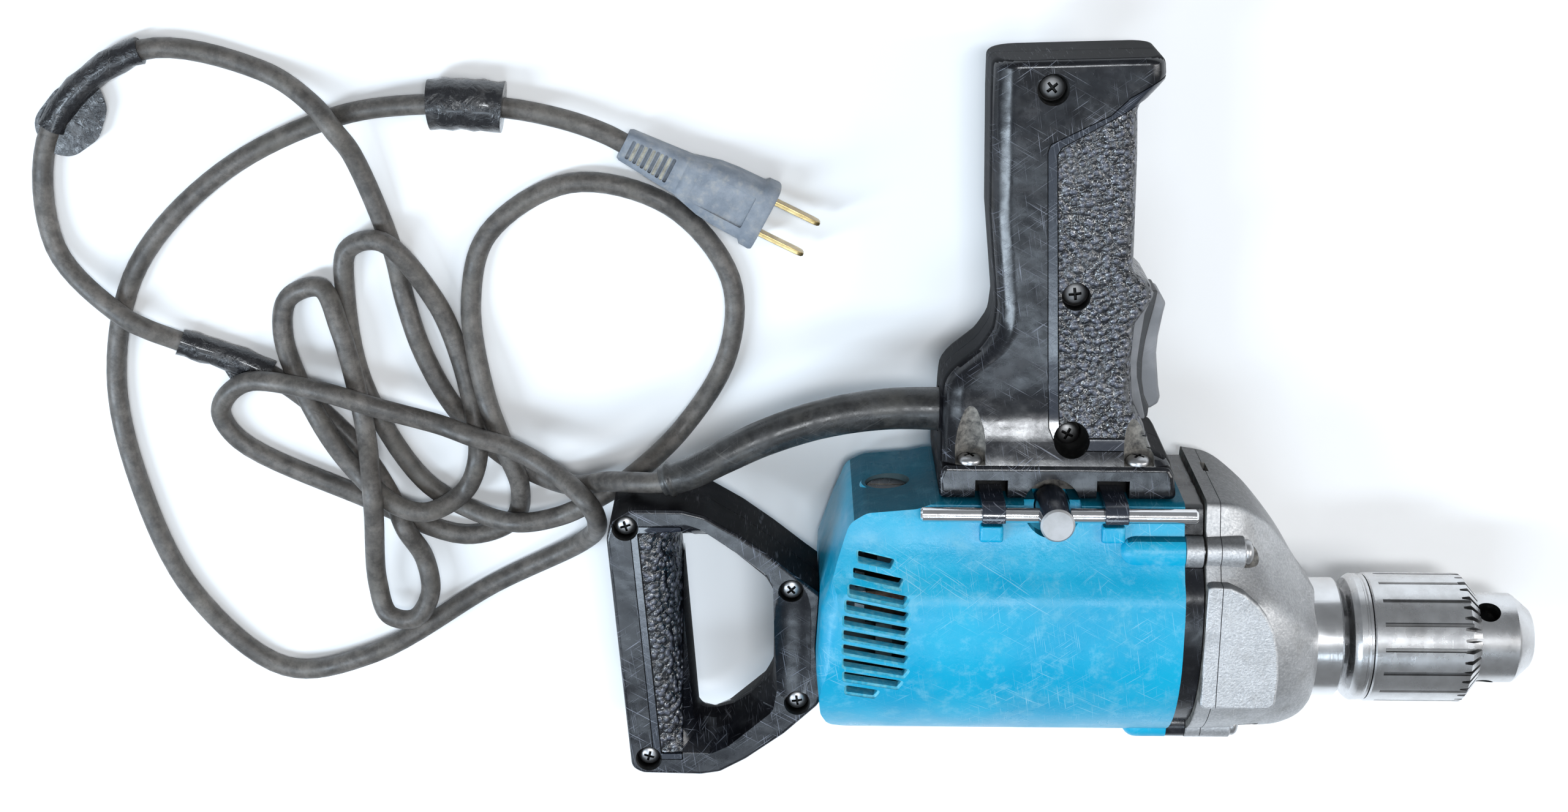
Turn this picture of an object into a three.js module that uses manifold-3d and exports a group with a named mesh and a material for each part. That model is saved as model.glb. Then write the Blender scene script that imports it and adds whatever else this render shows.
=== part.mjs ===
import * as THREE from 'three';
import { mergeVertices } from 'three/addons/utils/BufferGeometryUtils.js';
import Module from 'manifold-3d';

const wasm = await Module();
wasm.setup();

// An electric drill lying on its side. X runs along the spindle toward the chuck, Y from the
// spindle toward the pistol grip and Z up from the table. While the parts are made, the origin is
// on the spindle axis, level with the front face of the motor housing. All lengths are in mm.

// Driving sizes
const FIT = 0.3;
const SEAM = 0.15;
const MOTOR_Y = 16;
const SCREW_SHANK = 2;
const WELD = 1e-4;
const FAR = 400;
const TURN = 2 * Math.PI;
const QUARTER = Math.PI / 2;
const FACETS = { fine: 28, medium: 16, small: 8, tiny: 6 };

// Motor housing
const HOUSING = {
  rear: -130, rearWall: 4, halfWidth: 45.7, down: 49, wall: 4.9, skin: 3.2,
  crease: 37, deckHalf: 29, deckY: 62, deckDrop: 4, deckRound: 3,
};
const REST_HEIGHT = HOUSING.halfWidth - 0.7;
const BORE = HOUSING.halfWidth - HOUSING.wall;
const HOUSING_SIDE = [
  [0, HOUSING.deckY], [-88, HOUSING.deckY], [-96, HOUSING.deckY - 2.5],
  [-113, HOUSING.deckY - HOUSING.deckDrop], [-119, 54.5], [-128.7, 26], [HOUSING.rear, 2], [-128.2, -17],
  [-125.5, -24.5], [-120, -28], [-91, -31], [-50, -32.8], [0, -33.2],
];
const BELLY_BUMP = { back: -48, front: -28, y: -27.2, radius: 9 };
const VENTS = {
  count: 10, top: 42.6, pitch: 5.3, height: 3.5, slope: 0.19, deep: 14,
  lefts: [-116, -117.7, -119, -120, -120.7, -120.8, -120.8, -120.7, -120.3, -119.4],
  rights: [-104, -101, -99.5, -99, -98.8, -98.8, -98.8, -99, -101, -109],
};

// Screw bosses shared by the housing, the gear plate and the gear case
const UPPER_BOSS = { y: 45.5, z: HOUSING.halfWidth - 12.7, radius: 5.6, back: -26, face: 18.8 };
const LOWER_BOSS = { y: -27.8, z: 15, radius: 5.2, back: -19, face: 22.2 };
const CASE_SCREW = { end: -18, head: 4.6, headLength: 3.4, pocket: 5.3 };

// Gear plate and gear case
const PLATE = { back: 0.3, front: 6.7, inset: 2.5, boss: 13.5, bossDepth: 6.3 };
const CASE_SPLIT = { rear: 7, seam: 14.1 };
const CASE_STATIONS = [
  { x: 7, top: 63, deck: 29, share: 1, middle: 16, bottom: -33 },
  { x: 14.1, top: 61.2, deck: 26.5, share: 0.996, middle: 16, bottom: -32.6 },
  { x: 24, top: 54.5, deck: 21, share: 0.967, middle: 15, bottom: -32.2 },
  { x: 30, top: 48.5, deck: 15.5, share: 0.922, middle: 13, bottom: -31.6 },
  { x: 37, top: 39.5, deck: 11, share: 0.84, middle: 9, bottom: -31 },
  { x: 43.5, top: 29, deck: 9, share: 0.711, middle: 3, bottom: -28.4 },
  { x: 46.8, top: 24.5, deck: 8, share: 0.611, middle: 0, bottom: -25.2 },
  { x: 48.6, top: 22, deck: 7.5, share: 0.5, middle: 0, bottom: -22.5 },
];
const CASE_CREASE = { rise: 0.45, side: 0.89 };
const CASE_WALL = 3.6;
const CASE_HOLLOW_END = 43;
const SIDE_PAD = [
  [1, -8.5], [28, -8.5], [30, -6], [30, 2], [28.8, 12], [26.9, 22], [22.5, 31], [14.3, 36.6], [1, 37.2],
];
const PAD_ROOT = 7.6;
const COLLAR = { radius: 21.5, front: 58.5, opening: 10 };

// Gear train
const PRESSURE = 25 * Math.PI / 180;
const BACKLASH = 0.3;
const IDLER = { y: 23.39, z: 20.72, journal: 4 };
const IDLER_END = 35;
const MOTOR_PINION = { teeth: 7, module: 1, tip: 4.2, root: 2.55, back: 7.6, front: 13.6 };
const IDLER_GEAR = { teeth: 37, module: 1, tip: 19.1, root: 17.4, back: 8, front: 13 };
const IDLER_PINION = { teeth: 10, module: 1.25, tip: 7.35, root: 4.7, back: 15.6, front: 27 };
const SPINDLE_GEAR = { teeth: 40, module: 1.25, tip: 25.9, root: 23.4, back: 16.4, front: 26 };

// Motor
const SHAFT = { radius: 4, rear: -123, rearRadius: 3.5, front: 7.2 };
const FRONT_BEARING = { back: -6, front: 0, radius: 11 };
const REAR_BEARING = { back: -122, front: -116, radius: 9.5 };
const CORE = { back: -85, front: -35, radius: 20, slots: 8, slotWidth: 2.2, slotDepth: 4 };
const COMMUTATOR = { back: -112, front: -98, radius: 11 };
const FAN = { back: -24, front: -10, radius: BORE - 4.8, hub: 8, plate: 2, blades: 9, bladeThickness: 1.6 };
const STATOR = { ringWall: 7.5, poleRadius: 20.8, poleHalfAngle: 0.82 };
const COIL = { inner: 22.5, overhang: 7, halfAngle: 0.6 };
const BRUSH = { x: -105, side: 6, length: 16.2 };
const BRUSH_CAP = {
  radius: 7.6, length: 13.5, holder: 9.8, holderStart: 26, guide: 6.5, guideStart: 3, slot: 1.6, slotDepth: 1.4,
};

// Spindle and chuck
const SPINDLE = { back: 2.2, journal: 5, journalEnd: 7.4, radius: 8, shoulder: 60.2, thread: 6.5, front: 80 };
const SPINDLE_BEARING = { back: 46.5, front: 56.7, radius: 16 };
const CHUCK = {
  back: 60.8, flangeRear: 18, flangeMiddle: 22, flange: 23, flangeEnd: 68.8, body: 16.3,
  noseStart: 123, front: 129.5, noseRadius: 10.5, bitBore: 7, bitBoreBack: 96,
};
const SLEEVE = {
  back: 69.1, front: 108.5, radius: 23.3, cavity: 20.5, cavityBack: 76, cavityFront: 103,
  grooves: 16, grooveWidth: 2.1, grooveDepth: 1, grooveFront: 101.5,
  bevelStart: 103.7, bevelFront: 17.5, teeth: 26, toothGap: 1.5, toothDepth: 1.2,
};
const JAW = { count: 3, radius: 2.9, length: 28, tipX: 125, tipRadius: 6.2, lean: 17 * Math.PI / 180, travel: 8 };
const KEY_HOLES = { x: 112, radius: 4.1, depth: 5.5, first: 58 * Math.PI / 180 };

// Pistol grip
const GRIP_TOP = [
  [-15.8, 206.3], [-16.6, 214.4], [-70, 212.6], [-74, 208.5], [-74, 200], [-73, 160],
  [-69.7, 128], [-70.5, 119.5], [-75, 112.5], [-84, 105], [-87, 101], [-87.4, 95],
  [-88, 62.3], [-6, 62.3], [-7.6, 73.5], [-9.5, 76.5], [-15.5, 78.5], [-16.6, 86], [-21, 95],
  [-22, 108], [-21.4, 122], [-15.2, 131.5], [-17, 137], [-22.9, 140.5], [-23.6, 180],
  [-24.4, 197.4],
];
const GRIP = { half: 19.5, wall: 3, round: 5, baseHalf: 28, baseTop: 72, baseRound: 2.5, openTop: 77 };
const GRIP_FLARE = [[98, 19], [88, 20.6], [80, 23.4], [74, 27], [HOUSING.deckY + FIT, 27]];
const GRIP_BEAK = [[-30, 190], [0, 190], [0, 206.3], [-15.8, 206.3], [-24.4, 197.4]];
const GRIP_BASE = [
  [-88, HOUSING.deckY + FIT], [-88.4, 71], [-86, 74], [-10, 74], [-7.6, 71], [-6, HOUSING.deckY + FIT],
];
const GRIP_SCREWS = [[-53.7, 203.5], [-42.9, 132.5], [-42.7, 80.5]];
const GRIP_SCREW = { head: 4.6, headTop: 17.6, headBottom: 14.6, post: 6.6, end: -12 };
const BASE_SCREWS = [-77.6, -19.4];
const BASE_SCREW = {
  z: 23.2, head: 4.2, headBottom: 74.3, headTop: 77.2, shank: 1.6, end: 56, pocket: 4.7, pocketTop: 93,
};
const TRIGGER = {
  pad: [
    [-22.5, 86.8], [-14.8, 87.6], [-11.6, 91], [-11.1, 97], [-13.4, 110], [-11.4, 123], [-11, 127.5],
    [-13.6, 130.4], [-22, 124],
  ],
  half: 9, stemBack: -40, stemLow: 94.5, stemHigh: 121, travel: 6,
};
const SWITCH = { back: -63, front: -46.6, low: 94, high: 122 };

// D-handle
const HANDLE_OUTER = [
  [-195.5, 54], [-177.5, 54], [-169.5, 52], [-156.7, 44.5], [-145.2, 36.2], [-134.3, 27.5], [-127, 22],
  [-127, -12], [-128.4, -19.6], [-141, -31.5], [-154.8, -41.7], [-164.1, -46.9], [-171, -48],
  [-192, -47.6], [-196, -45.5], [-204, 43], [-202.6, 49.5],
];
const HANDLE_HOLE = [
  [-178, 41.6], [-172.7, 41.2], [-166.4, 37.7], [-157.9, 30.5], [-147.8, 21.5], [-145.3, 17], [-144.9, 9],
  [-145, -16.4], [-153.5, -24.8], [-159.5, -28.8], [-165.6, -30.4], [-172, -30.8],
];
const HANDLE = { half: 20.5, wall: 3.5, round: 5, neckGap: 0.35 };
const HANDLE_SCREWS = [[-197.4, 47.4], [-189.8, -41.6], [-138.8, 23.8], [-136.4, -19]];
const HANDLE_SCREW = { head: 3.9, headTop: 18.6, headBottom: 15.8, post: 5.4, end: -13 };

// Chuck key and the straps that hold it
const KEY = { x: -49, y: 60, radius: 5.9, top: 48, bottom: 22, pilot: 4, pilotEnd: 14 };
const KEY_BAR = { z: 37.5, radius: 2.55, back: -95, front: 0 };
const KEY_SEAT = { radius: 10, floor: 27 };
const STRAPS = { backs: [-74.2, -32.2], width: 8.1, thick: 2.2, root: 20, opening: 1.9, steps: 8 };
const CATCH = { low: 49, high: 54.5, bottom: 29, top: 36 };

// Cord, its guard, the plug and the tape. Cord points are X, Y and height above the table.
const CORD_DIAMETER = 7.4;
const CORD_POINTS = [
  [-163, 70.2, 53.4], [-175, 64.2, 54.6], [-185, 60.4, 53.4], [-195, 58.4, 48.2], [-206, 54, 35.4],
  [-217, 47, 20.4], [-229, 44, 6.6], [-247, 53, 4.4], [-264, 71, 4.4], [-275, 92, 4.4], [-281, 112, 4.4],
  [-285, 132, 4.4], [-297, 168, 10], [-302, 177, 14.3], [-310, 186, 10.8], [-329, 197, 4.4],
  [-371, 204, 5.6], [-405, 176, 5.6], [-407, 132, 6], [-383, 108, 12.4], [-375, 103, 11.4],
  [-364, 97, 7], [-332, 84, 5.4], [-302, 57, 4.4], [-288, 37, 9.8], [-283, 27, 14.2],
  [-277, 13, 8.9], [-275, 0, 11.4], [-281, -10, 12.4], [-291, -9, 11.4], [-295, 3, 9.4],
  [-293, 35, 22.4], [-293, 45, 24.2], [-296, 64, 13.9], [-300, 86, 11.9], [-304, 104, 12.9],
  [-311, 118, 7.9], [-324, 113, 4.6], [-326, 98, 6], [-313, 69, 13.6], [-301, 50, 13.4],
  [-286, 38, 18], [-274, 35, 17.9], [-261, 41, 11.9], [-255, 55, 15.4], [-256, 68, 10.4],
  [-262, 92, 4.4], [-270, 114, 7.4], [-287, 137, 13.9], [-301, 132, 6.4], [-303, 117, 4.4],
  [-298, 81, 4.4], [-277, 43, 4.4], [-258, 32, 7.9], [-241, 30, 15], [-225, 33, 15.4],
  [-211, 42, 21.2], [-198, 50, 18.4], [-179, 66, 7.4], [-163, 93, 4.4], [-162, 122, 4.4],
  [-184, 149, 4.4], [-220, 157, 4.4], [-250, 138, 4.4], [-257, 112, 4.4], [-252, 80, 11.9],
  [-245, 59, 13.9], [-240, 43, 11.4], [-244, 27, 4.4], [-262, 21, 4.4], [-300, 36, 4.4],
  [-345, 58, 4.4], [-351, 70, 5.8], [-340, 83, 12.4], [-314, 83, 19.9], [-290, 76, 19.9],
  [-268, 69, 17.4], [-255, 66, 22.4], [-243, 62, 21.4], [-226, 54, 25.9], [-213, 46, 35.9],
  [-210, 36, 29.9], [-217, 22, 12.9], [-252, 1, 4.4], [-298, -26, 9.4], [-333, -34, 4.4],
  [-366, -4, 4.4], [-384, 42, 4.4], [-389, 84, 4.4], [-378, 125, 4.4], [-345, 160, 4.4],
  [-302, 181, 5.4], [-268.5, 186.4, 9.8], [-242.5, 185.4, 9.9], [-222, 181.6, 10], [-207, 176.6, 10.2],
  [-197, 171.45, 10.2],
];
const CORD_STEPS = 230;
const CORD_SIDES = 8;
const GUARD_POINTS = [
  [-82, 86, 45], [-106, 85.6, 45], [-128, 82.8, 48], [-148, 77, 51.4], [-163, 70.2, 53.4],
  [-175, 64.2, 54.6], [-184.5, 60.6, 53.5],
];
const GUARD = { start: 7.75, end: 5.3, lip: 6.3, lipAt: 0.94, steps: 18, sides: 12, boreStart: 0.15, loose: 0.75 };
const PLUG = {
  back: [-200, 173], front: [-151.5, 148], height: 10.2, corner: 0.35,
  lengths: [0, 0.2, 0.42, 0.46, 0.9, 0.93, 1], halfWidths: [5, 6.2, 7.2, 10.2, 11, 12.6, 12.6],
  halfHeights: [5, 6, 7, 9, 9.2, 9.9, 9.9], socket: 6,
};
const BLADE = { length: 17.5, sunk: 8, width: 6.4, thick: 1.6, spacing: 12.7 };
const TAPE = { wall: 0.8, gap: 0.5, steps: 6, flagThickness: 0.7, sides: 8 };
const TAPE_LONG = {
  first: 16,
  last: 17,
  flag: [[-388, 196], [-384, 183], [-388, 172], [-398, 165], [-407, 167], [-412, 178], [-402, 190]],
};
const TAPE_SHORT = { first: 21, last: 22, flag: [[-352, 92], [-340, 87], [-335, 78], [-345, 79]] };
const TAPE_ROLL = { first: 92, last: 93, radius: 9.2 };

// Turns a closed geometry into a solid, with its faces outward
function toSolid(geometry) {
  const bare = geometry.index ? geometry.toNonIndexed() : geometry.clone();
  bare.deleteAttribute('normal');
  bare.deleteAttribute('uv');
  const merged = mergeVertices(bare, WELD);
  const corners = merged.attributes.position;
  const [a, b, c] = [new THREE.Vector3(), new THREE.Vector3(), new THREE.Vector3()];
  const faces = [];
  let volume = 0;
  for (let i = 0; i < merged.index.count; i += 3) {
    const face = [merged.index.getX(i), merged.index.getX(i + 1), merged.index.getX(i + 2)];
    if (new Set(face).size < 3) continue;
    faces.push(face);
    a.fromBufferAttribute(corners, face[0]);
    b.fromBufferAttribute(corners, face[1]);
    c.fromBufferAttribute(corners, face[2]);
    volume += a.dot(b.cross(c));
  }
  const outward = volume > 0 ? faces : faces.map((face) => face.reverse());
  const mesh = new wasm.Mesh({
    numProp: 3,
    vertProperties: Float32Array.from(corners.array),
    triVerts: Uint32Array.from(outward.flat()),
  });
  return new wasm.Manifold(mesh);
}

function toGeometry(solid) {
  const mesh = solid.getMesh();
  const geometry = new THREE.BufferGeometry();
  geometry.setAttribute('position', new THREE.BufferAttribute(Float32Array.from(mesh.vertProperties), 3));
  geometry.setIndex(Array.from(mesh.triVerts));
  geometry.computeVertexNormals();
  return geometry;
}

function join(...solids) {
  return solids.reduce((all, solid) => all.add(solid));
}

function cut(solid, ...cutters) {
  return cutters.reduce((left, cutter) => left.subtract(cutter), solid);
}

function box([x0, x1], [y0, y1], [z0, z1]) {
  const geometry = new THREE.BoxGeometry(x1 - x0, y1 - y0, z1 - z0);
  geometry.translate((x0 + x1) / 2, (y0 + y1) / 2, (z0 + z1) / 2);
  return toSolid(geometry);
}

// Round rods along each axis
function rodX(x0, x1, y, z, radius, facets = FACETS.medium) {
  const geometry = new THREE.CylinderGeometry(radius, radius, x1 - x0, facets);
  geometry.rotateZ(-QUARTER).translate((x0 + x1) / 2, y, z);
  return toSolid(geometry);
}

function rodY(y0, y1, x, z, radius, facets = FACETS.medium) {
  const geometry = new THREE.CylinderGeometry(radius, radius, y1 - y0, facets);
  geometry.translate(x, (y0 + y1) / 2, z);
  return toSolid(geometry);
}

function rodZ(z0, z1, x, y, radius, facets = FACETS.medium) {
  const geometry = new THREE.CylinderGeometry(radius, radius, z1 - z0, facets);
  geometry.rotateX(QUARTER).translate(x, y, (z0 + z1) / 2);
  return toSolid(geometry);
}

// A solid of revolution about an X line, from [x, radius] points
function turned(profile, y, facets = FACETS.fine) {
  const points = profile.map(([x, radius]) => new THREE.Vector2(radius, x));
  const geometry = new THREE.LatheGeometry(points, facets);
  geometry.rotateZ(-QUARTER).translate(0, y, 0);
  return toSolid(geometry);
}

function ring(x0, x1, y, inner, outer, facets = FACETS.fine) {
  return turned([[x0, inner], [x0, outer], [x1, outer], [x1, inner], [x0, inner]], y, facets);
}

function shapeOf(points) {
  const corners = points.map(([a, b]) => new THREE.Vector2(a, b));
  if (THREE.ShapeUtils.isClockWise(corners)) corners.reverse();
  return new THREE.Shape(corners);
}

// An outline moved outward by a distance, with mitred corners
function grown(outline, distance) {
  const points = shapeOf(outline).getPoints();
  return points.map((point, i) => {
    const before = points[(i + points.length - 1) % points.length];
    const after = points[(i + 1) % points.length];
    const [a, b] = [point.clone().sub(before).normalize(), after.clone().sub(point).normalize()];
    const normal = new THREE.Vector2(a.y + b.y, -a.x - b.x).normalize();
    const stretch = distance / Math.max(normal.dot(new THREE.Vector2(a.y, -a.x)), 0.5);
    return [point.x + normal.x * stretch, point.y + normal.y * stretch];
  });
}

// A slab along Z from an XY outline, with rounded edges if asked
function slab(outline, z0, z1, round = 0) {
  const geometry = new THREE.ExtrudeGeometry(shapeOf(outline), {
    depth: z1 - z0 - 2 * round,
    bevelEnabled: round > 0,
    bevelThickness: round,
    bevelSize: round,
    bevelOffset: -round,
    bevelSegments: 2,
  });
  geometry.translate(0, 0, z0 + round);
  return toSolid(geometry);
}

// A bar along X from a [y, z] outline
function barX(outline, x0, x1) {
  const shape = shapeOf(outline.map(([y, z]) => [-z, y]));
  const geometry = new THREE.ExtrudeGeometry(shape, { depth: x1 - x0, bevelEnabled: false });
  geometry.rotateY(QUARTER).translate(x0, 0, 0);
  return toSolid(geometry);
}

// A closed solid through rings of points that have the same count
function throughRings(rings) {
  const count = rings[0].length;
  const positions = [];
  const push = (...points) => points.forEach((point) => positions.push(point.x, point.y, point.z));
  const middle = (points) => points.reduce((sum, point) => sum.add(point), new THREE.Vector3())
    .divideScalar(points.length);
  for (let i = 0; i + 1 < rings.length; i += 1) {
    for (let j = 0; j < count; j += 1) {
      const next = (j + 1) % count;
      push(rings[i][j], rings[i + 1][j], rings[i + 1][next]);
      push(rings[i][j], rings[i + 1][next], rings[i][next]);
    }
  }
  const [first, last] = [rings[0], rings[rings.length - 1]];
  const [start, end] = [middle(first), middle(last)];
  for (let j = 0; j < count; j += 1) {
    const next = (j + 1) % count;
    push(start, first[j], first[next]);
    push(end, last[next], last[j]);
  }
  const geometry = new THREE.BufferGeometry();
  geometry.setAttribute('position', new THREE.Float32BufferAttribute(positions, 3));
  return toSolid(geometry);
}

function ringAlong(curve, share, radiusA, radiusB, sides) {
  const centre = curve.getPointAt(share);
  const tangent = curve.getTangentAt(share);
  const side = new THREE.Vector3(0, 0, 1).cross(tangent).normalize();
  const up = tangent.clone().cross(side);
  return Array.from({ length: sides }, (_, j) => {
    const angle = (TURN * j) / sides;
    return centre.clone()
      .addScaledVector(side, radiusA * Math.cos(angle))
      .addScaledVector(up, radiusB * Math.sin(angle));
  });
}

// An involute gear along X, with one tooth or gap pointing at the given angle from +Y to +Z
function gear(sizes, y, z, angle, gapFirst) {
  const pitch = (sizes.teeth * sizes.module) / 2;
  const base = pitch * Math.cos(PRESSURE);
  const involute = (a) => Math.tan(a) - a;
  const half = Math.PI / (2 * sizes.teeth) - BACKLASH / (4 * pitch);
  const flankAngle = (radius) => {
    const lean = radius > base ? involute(Math.acos(base / radius)) : 0;
    return half + involute(PRESSURE) - lean;
  };
  const radii = [sizes.root, pitch, sizes.tip];
  const turn = TURN / sizes.teeth;
  const outline = [];
  for (let tooth = 0; tooth < sizes.teeth; tooth += 1) {
    const centre = angle + turn * (tooth + (gapFirst ? 0.5 : 0));
    const flank = (radius, side) => {
      const a = centre + side * flankAngle(radius);
      outline.push([y + radius * Math.cos(a), z + radius * Math.sin(a)]);
    };
    radii.forEach((radius) => flank(radius, -1));
    [...radii].reverse().forEach((radius) => flank(radius, 1));
  }
  return barX(outline, sizes.back, sizes.front);
}

const mirrored = (points) => points.map(([a, b]) => [a, -b]);
const bothSides = (make) => [make(1), make(-1)];

// Section of the motor housing across X, shrunk by an inset
function housingSection(inset) {
  const { halfWidth, down, crease, deckHalf, deckY, deckRound } = HOUSING;
  const flat = REST_HEIGHT - inset;
  const creaseAngle = Math.asin((crease - MOTOR_Y) / (halfWidth - inset));
  const right = [];
  for (let i = 0; i <= 10; i += 1) {
    const angle = -QUARTER + (QUARTER * i) / 10;
    const z = Math.min((halfWidth - inset) * Math.cos(angle), flat);
    right.push([MOTOR_Y + (down - inset) * Math.sin(angle), z]);
  }
  for (let i = 1; i <= 4; i += 1) {
    const angle = (creaseAngle * i) / 4;
    const z = Math.min((halfWidth - inset) * Math.cos(angle), flat);
    right.push([MOTOR_Y + (halfWidth - inset) * Math.sin(angle), z]);
  }
  right.push([deckY - inset - 1.6 * deckRound, deckHalf + deckRound - inset]);
  right.push([deckY - inset - 0.5 * deckRound, deckHalf + 0.6 * deckRound - inset]);
  right.push([deckY - inset, deckHalf - 0.5 * deckRound - inset]);
  return [...right, ...mirrored(right.slice(1)).reverse()];
}

function ventSlots() {
  const slots = [];
  for (let i = 0; i < VENTS.count; i += 1) {
    const [left, right] = [VENTS.lefts[i], VENTS.rights[i]];
    const y = VENTS.top - VENTS.pitch * i;
    const surface = Math.sqrt(HOUSING.halfWidth ** 2 - (y - MOTOR_Y) ** 2);
    slots.push(...bothSides((side) => {
      const geometry = new THREE.BoxGeometry(right - left, VENTS.height, VENTS.deep);
      geometry.rotateZ(-VENTS.slope);
      geometry.translate((left + right) / 2, y, side * surface);
      return toSolid(geometry);
    }));
  }
  return slots;
}

function brushPlaces() {
  const gap = COMMUTATOR.radius + FIT;
  return [1, -1].map((side) => ({
    side,
    inner: MOTOR_Y + side * gap,
    outer: MOTOR_Y + side * (gap + BRUSH.length),
    capInner: MOTOR_Y + side * (gap + BRUSH.length + FIT),
    capOuter: MOTOR_Y + side * (gap + BRUSH.length + FIT + BRUSH_CAP.length),
  }));
}

function ordered(a, b) {
  return a < b ? [a, b] : [b, a];
}

function brushHolders() {
  const { holder, holderStart, guide, guideStart } = BRUSH_CAP;
  return brushPlaces().map(({ inner, side, capOuter }) => join(
    rodY(...ordered(MOTOR_Y + side * holderStart, MOTOR_Y + side * (BORE + 1)), BRUSH.x, 0, holder),
    rodY(...ordered(inner + side * guideStart, capOuter), BRUSH.x, 0, guide),
  ));
}

function brushHoles() {
  const half = BRUSH.side / 2 + FIT;
  return brushPlaces().flatMap(({ side, inner, capInner }) => [
    rodY(...ordered(capInner - side * FIT, side * FAR), BRUSH.x, 0, BRUSH_CAP.radius + FIT),
    box([BRUSH.x - half, BRUSH.x + half], ordered(inner, capInner), [-half, half]),
  ]);
}

function keyHole() {
  const { x, y } = KEY;
  const open = REST_HEIGHT + FIT;
  return join(
    rodZ(KEY.pilotEnd - FIT, KEY.bottom, x, y, KEY.pilot + FIT, FACETS.medium),
    rodZ(KEY.bottom - FIT, open, x, y, KEY.radius + FIT, FACETS.medium),
    rodZ(KEY_SEAT.floor, open, x, y, KEY_SEAT.radius, FACETS.medium),
  );
}

function caseScrewPlaces() {
  return [UPPER_BOSS, LOWER_BOSS].flatMap((boss) => bothSides((side) => ({ ...boss, z: side * boss.z })));
}

function motorHousing() {
  const front = HOUSING_SIDE[0][0];
  const outside = barX(housingSection(0), HOUSING.rear, front)
    .intersect(slab(HOUSING_SIDE, -REST_HEIGHT, REST_HEIGHT));
  const { rear, rearWall, skin } = HOUSING;
  const openSide = HOUSING_SIDE.map(([x, y]) => [x === front ? FIT + skin : x, y]);
  const hollow = rodX(rear + rearWall, FIT, MOTOR_Y, 0, BORE, FACETS.fine)
    .intersect(slab(grown(openSide, -skin), -REST_HEIGHT, REST_HEIGHT));
  const bump = rodX(BELLY_BUMP.back, BELLY_BUMP.front, BELLY_BUMP.y, 0, BELLY_BUMP.radius);
  const bosses = caseScrewPlaces()
    .map((boss) => rodX(boss.back, front, boss.y, boss.z, boss.radius, FACETS.small));
  const catches = bothSides((side) => STRAPS.backs.map((back) => box(
    [back, back + STRAPS.width],
    [CATCH.low, CATCH.high],
    ordered(side * CATCH.bottom, side * CATCH.top),
  ))).flat();
  const bearingSeat = rodX(
    rear + rearWall / 2, REAR_BEARING.front + FIT, MOTOR_Y, 0, REAR_BEARING.radius + skin,
  );
  const walls = cut(outside, hollow);
  const body = join(walls, bump.subtract(hollow), ...bosses, ...catches, ...brushHolders(), bearingSeat);
  return cut(
    body,
    ...ventSlots(),
    ...brushHoles(),
    ...caseScrewPlaces()
      .map((boss) => rodX(CASE_SCREW.end - 2, 1, boss.y, boss.z, SCREW_SHANK + FIT, FACETS.small)),
    ...baseScrewPlaces().map(({ x, z }) => rodY(
      BASE_SCREW.end - 1, HOUSING.deckY + 1, x, z, BASE_SCREW.shank + FIT, FACETS.small,
    )),
    rodX(REAR_BEARING.back - FIT, REAR_BEARING.front + 1, MOTOR_Y, 0, REAR_BEARING.radius + FIT),
    rodX(SHAFT.rear - 1, REAR_BEARING.back, MOTOR_Y, 0, SHAFT.rearRadius + FIT),
    keyHole(),
  );
}

function baseScrewPlaces() {
  return BASE_SCREWS.flatMap((x) => bothSides((side) => ({ x, z: side * BASE_SCREW.z })));
}

function gearPlate() {
  const { back, front, inset, boss, bossDepth } = PLATE;
  const disc = barX(caseSection(CASE_STATIONS[0], inset), back, front);
  const lowerBosses = caseScrewPlaces().filter(({ y }) => y === LOWER_BOSS.y)
    .map((place) => rodX(back, front, place.y, place.z, place.radius, FACETS.small));
  const bearingBoss = rodX(back - bossDepth, back + FIT, MOTOR_Y, 0, boss);
  const upperSpace = caseScrewPlaces().filter(({ y }) => y === UPPER_BOSS.y)
    .map((place) => rodX(back - 1, front + 1, place.y, place.z, place.radius + FIT, FACETS.small));
  const screwHoles = caseScrewPlaces()
    .map(({ y, z }) => rodX(back - 1, front + 1, y, z, SCREW_SHANK + FIT, FACETS.small));
  return cut(
    join(disc, ...lowerBosses, bearingBoss),
    ...upperSpace,
    ...screwHoles,
    rodX(back - bossDepth - 1, back, MOTOR_Y, 0, FRONT_BEARING.radius + FIT),
    rodX(back - 1, front + 1, MOTOR_Y, 0, SHAFT.radius + FIT + FIT),
    rodX(SPINDLE.back - FIT, front + 1, 0, 0, SPINDLE.journal + FIT),
    rodX(SPINDLE.back, front + 1, IDLER.y, IDLER.z, IDLER.journal + FIT),
  );
}

// Section of the gear case across X at one station, shrunk by an inset
function caseSection(station, inset) {
  const half = station.share * REST_HEIGHT - inset;
  const { middle } = station;
  const [top, deck] = [station.top - inset, station.deck - inset];
  const [rise, side] = [(top - middle) * CASE_CREASE.rise, half * CASE_CREASE.side];
  const round = HOUSING.deckRound;
  const quarter = FACETS.small;
  const right = [];
  for (let i = 0; i <= quarter; i += 1) {
    const angle = -QUARTER + (QUARTER * i) / quarter;
    right.push([middle + (middle - station.bottom - inset) * Math.sin(angle), half * Math.cos(angle)]);
  }
  right.push([middle + 0.5 * rise, 0.98 * half]);
  right.push([middle + rise, side]);
  right.push([top - 1.6 * round, deck + round]);
  right.push([top - 0.5 * round, deck + 0.6 * round]);
  right.push([top, deck - 0.5 * round]);
  const flat = REST_HEIGHT - inset;
  const upper = right.map(([y, z]) => [y, Math.min(z, flat)]);
  return [...upper, ...mirrored(upper.slice(1)).reverse()];
}

function caseRing(station, inset) {
  return caseSection(station, inset).map(([y, z]) => new THREE.Vector3(station.x, y, z));
}

function caseOutside() {
  return throughRings(CASE_STATIONS.map((station) => caseRing(station, 0)));
}

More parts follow.
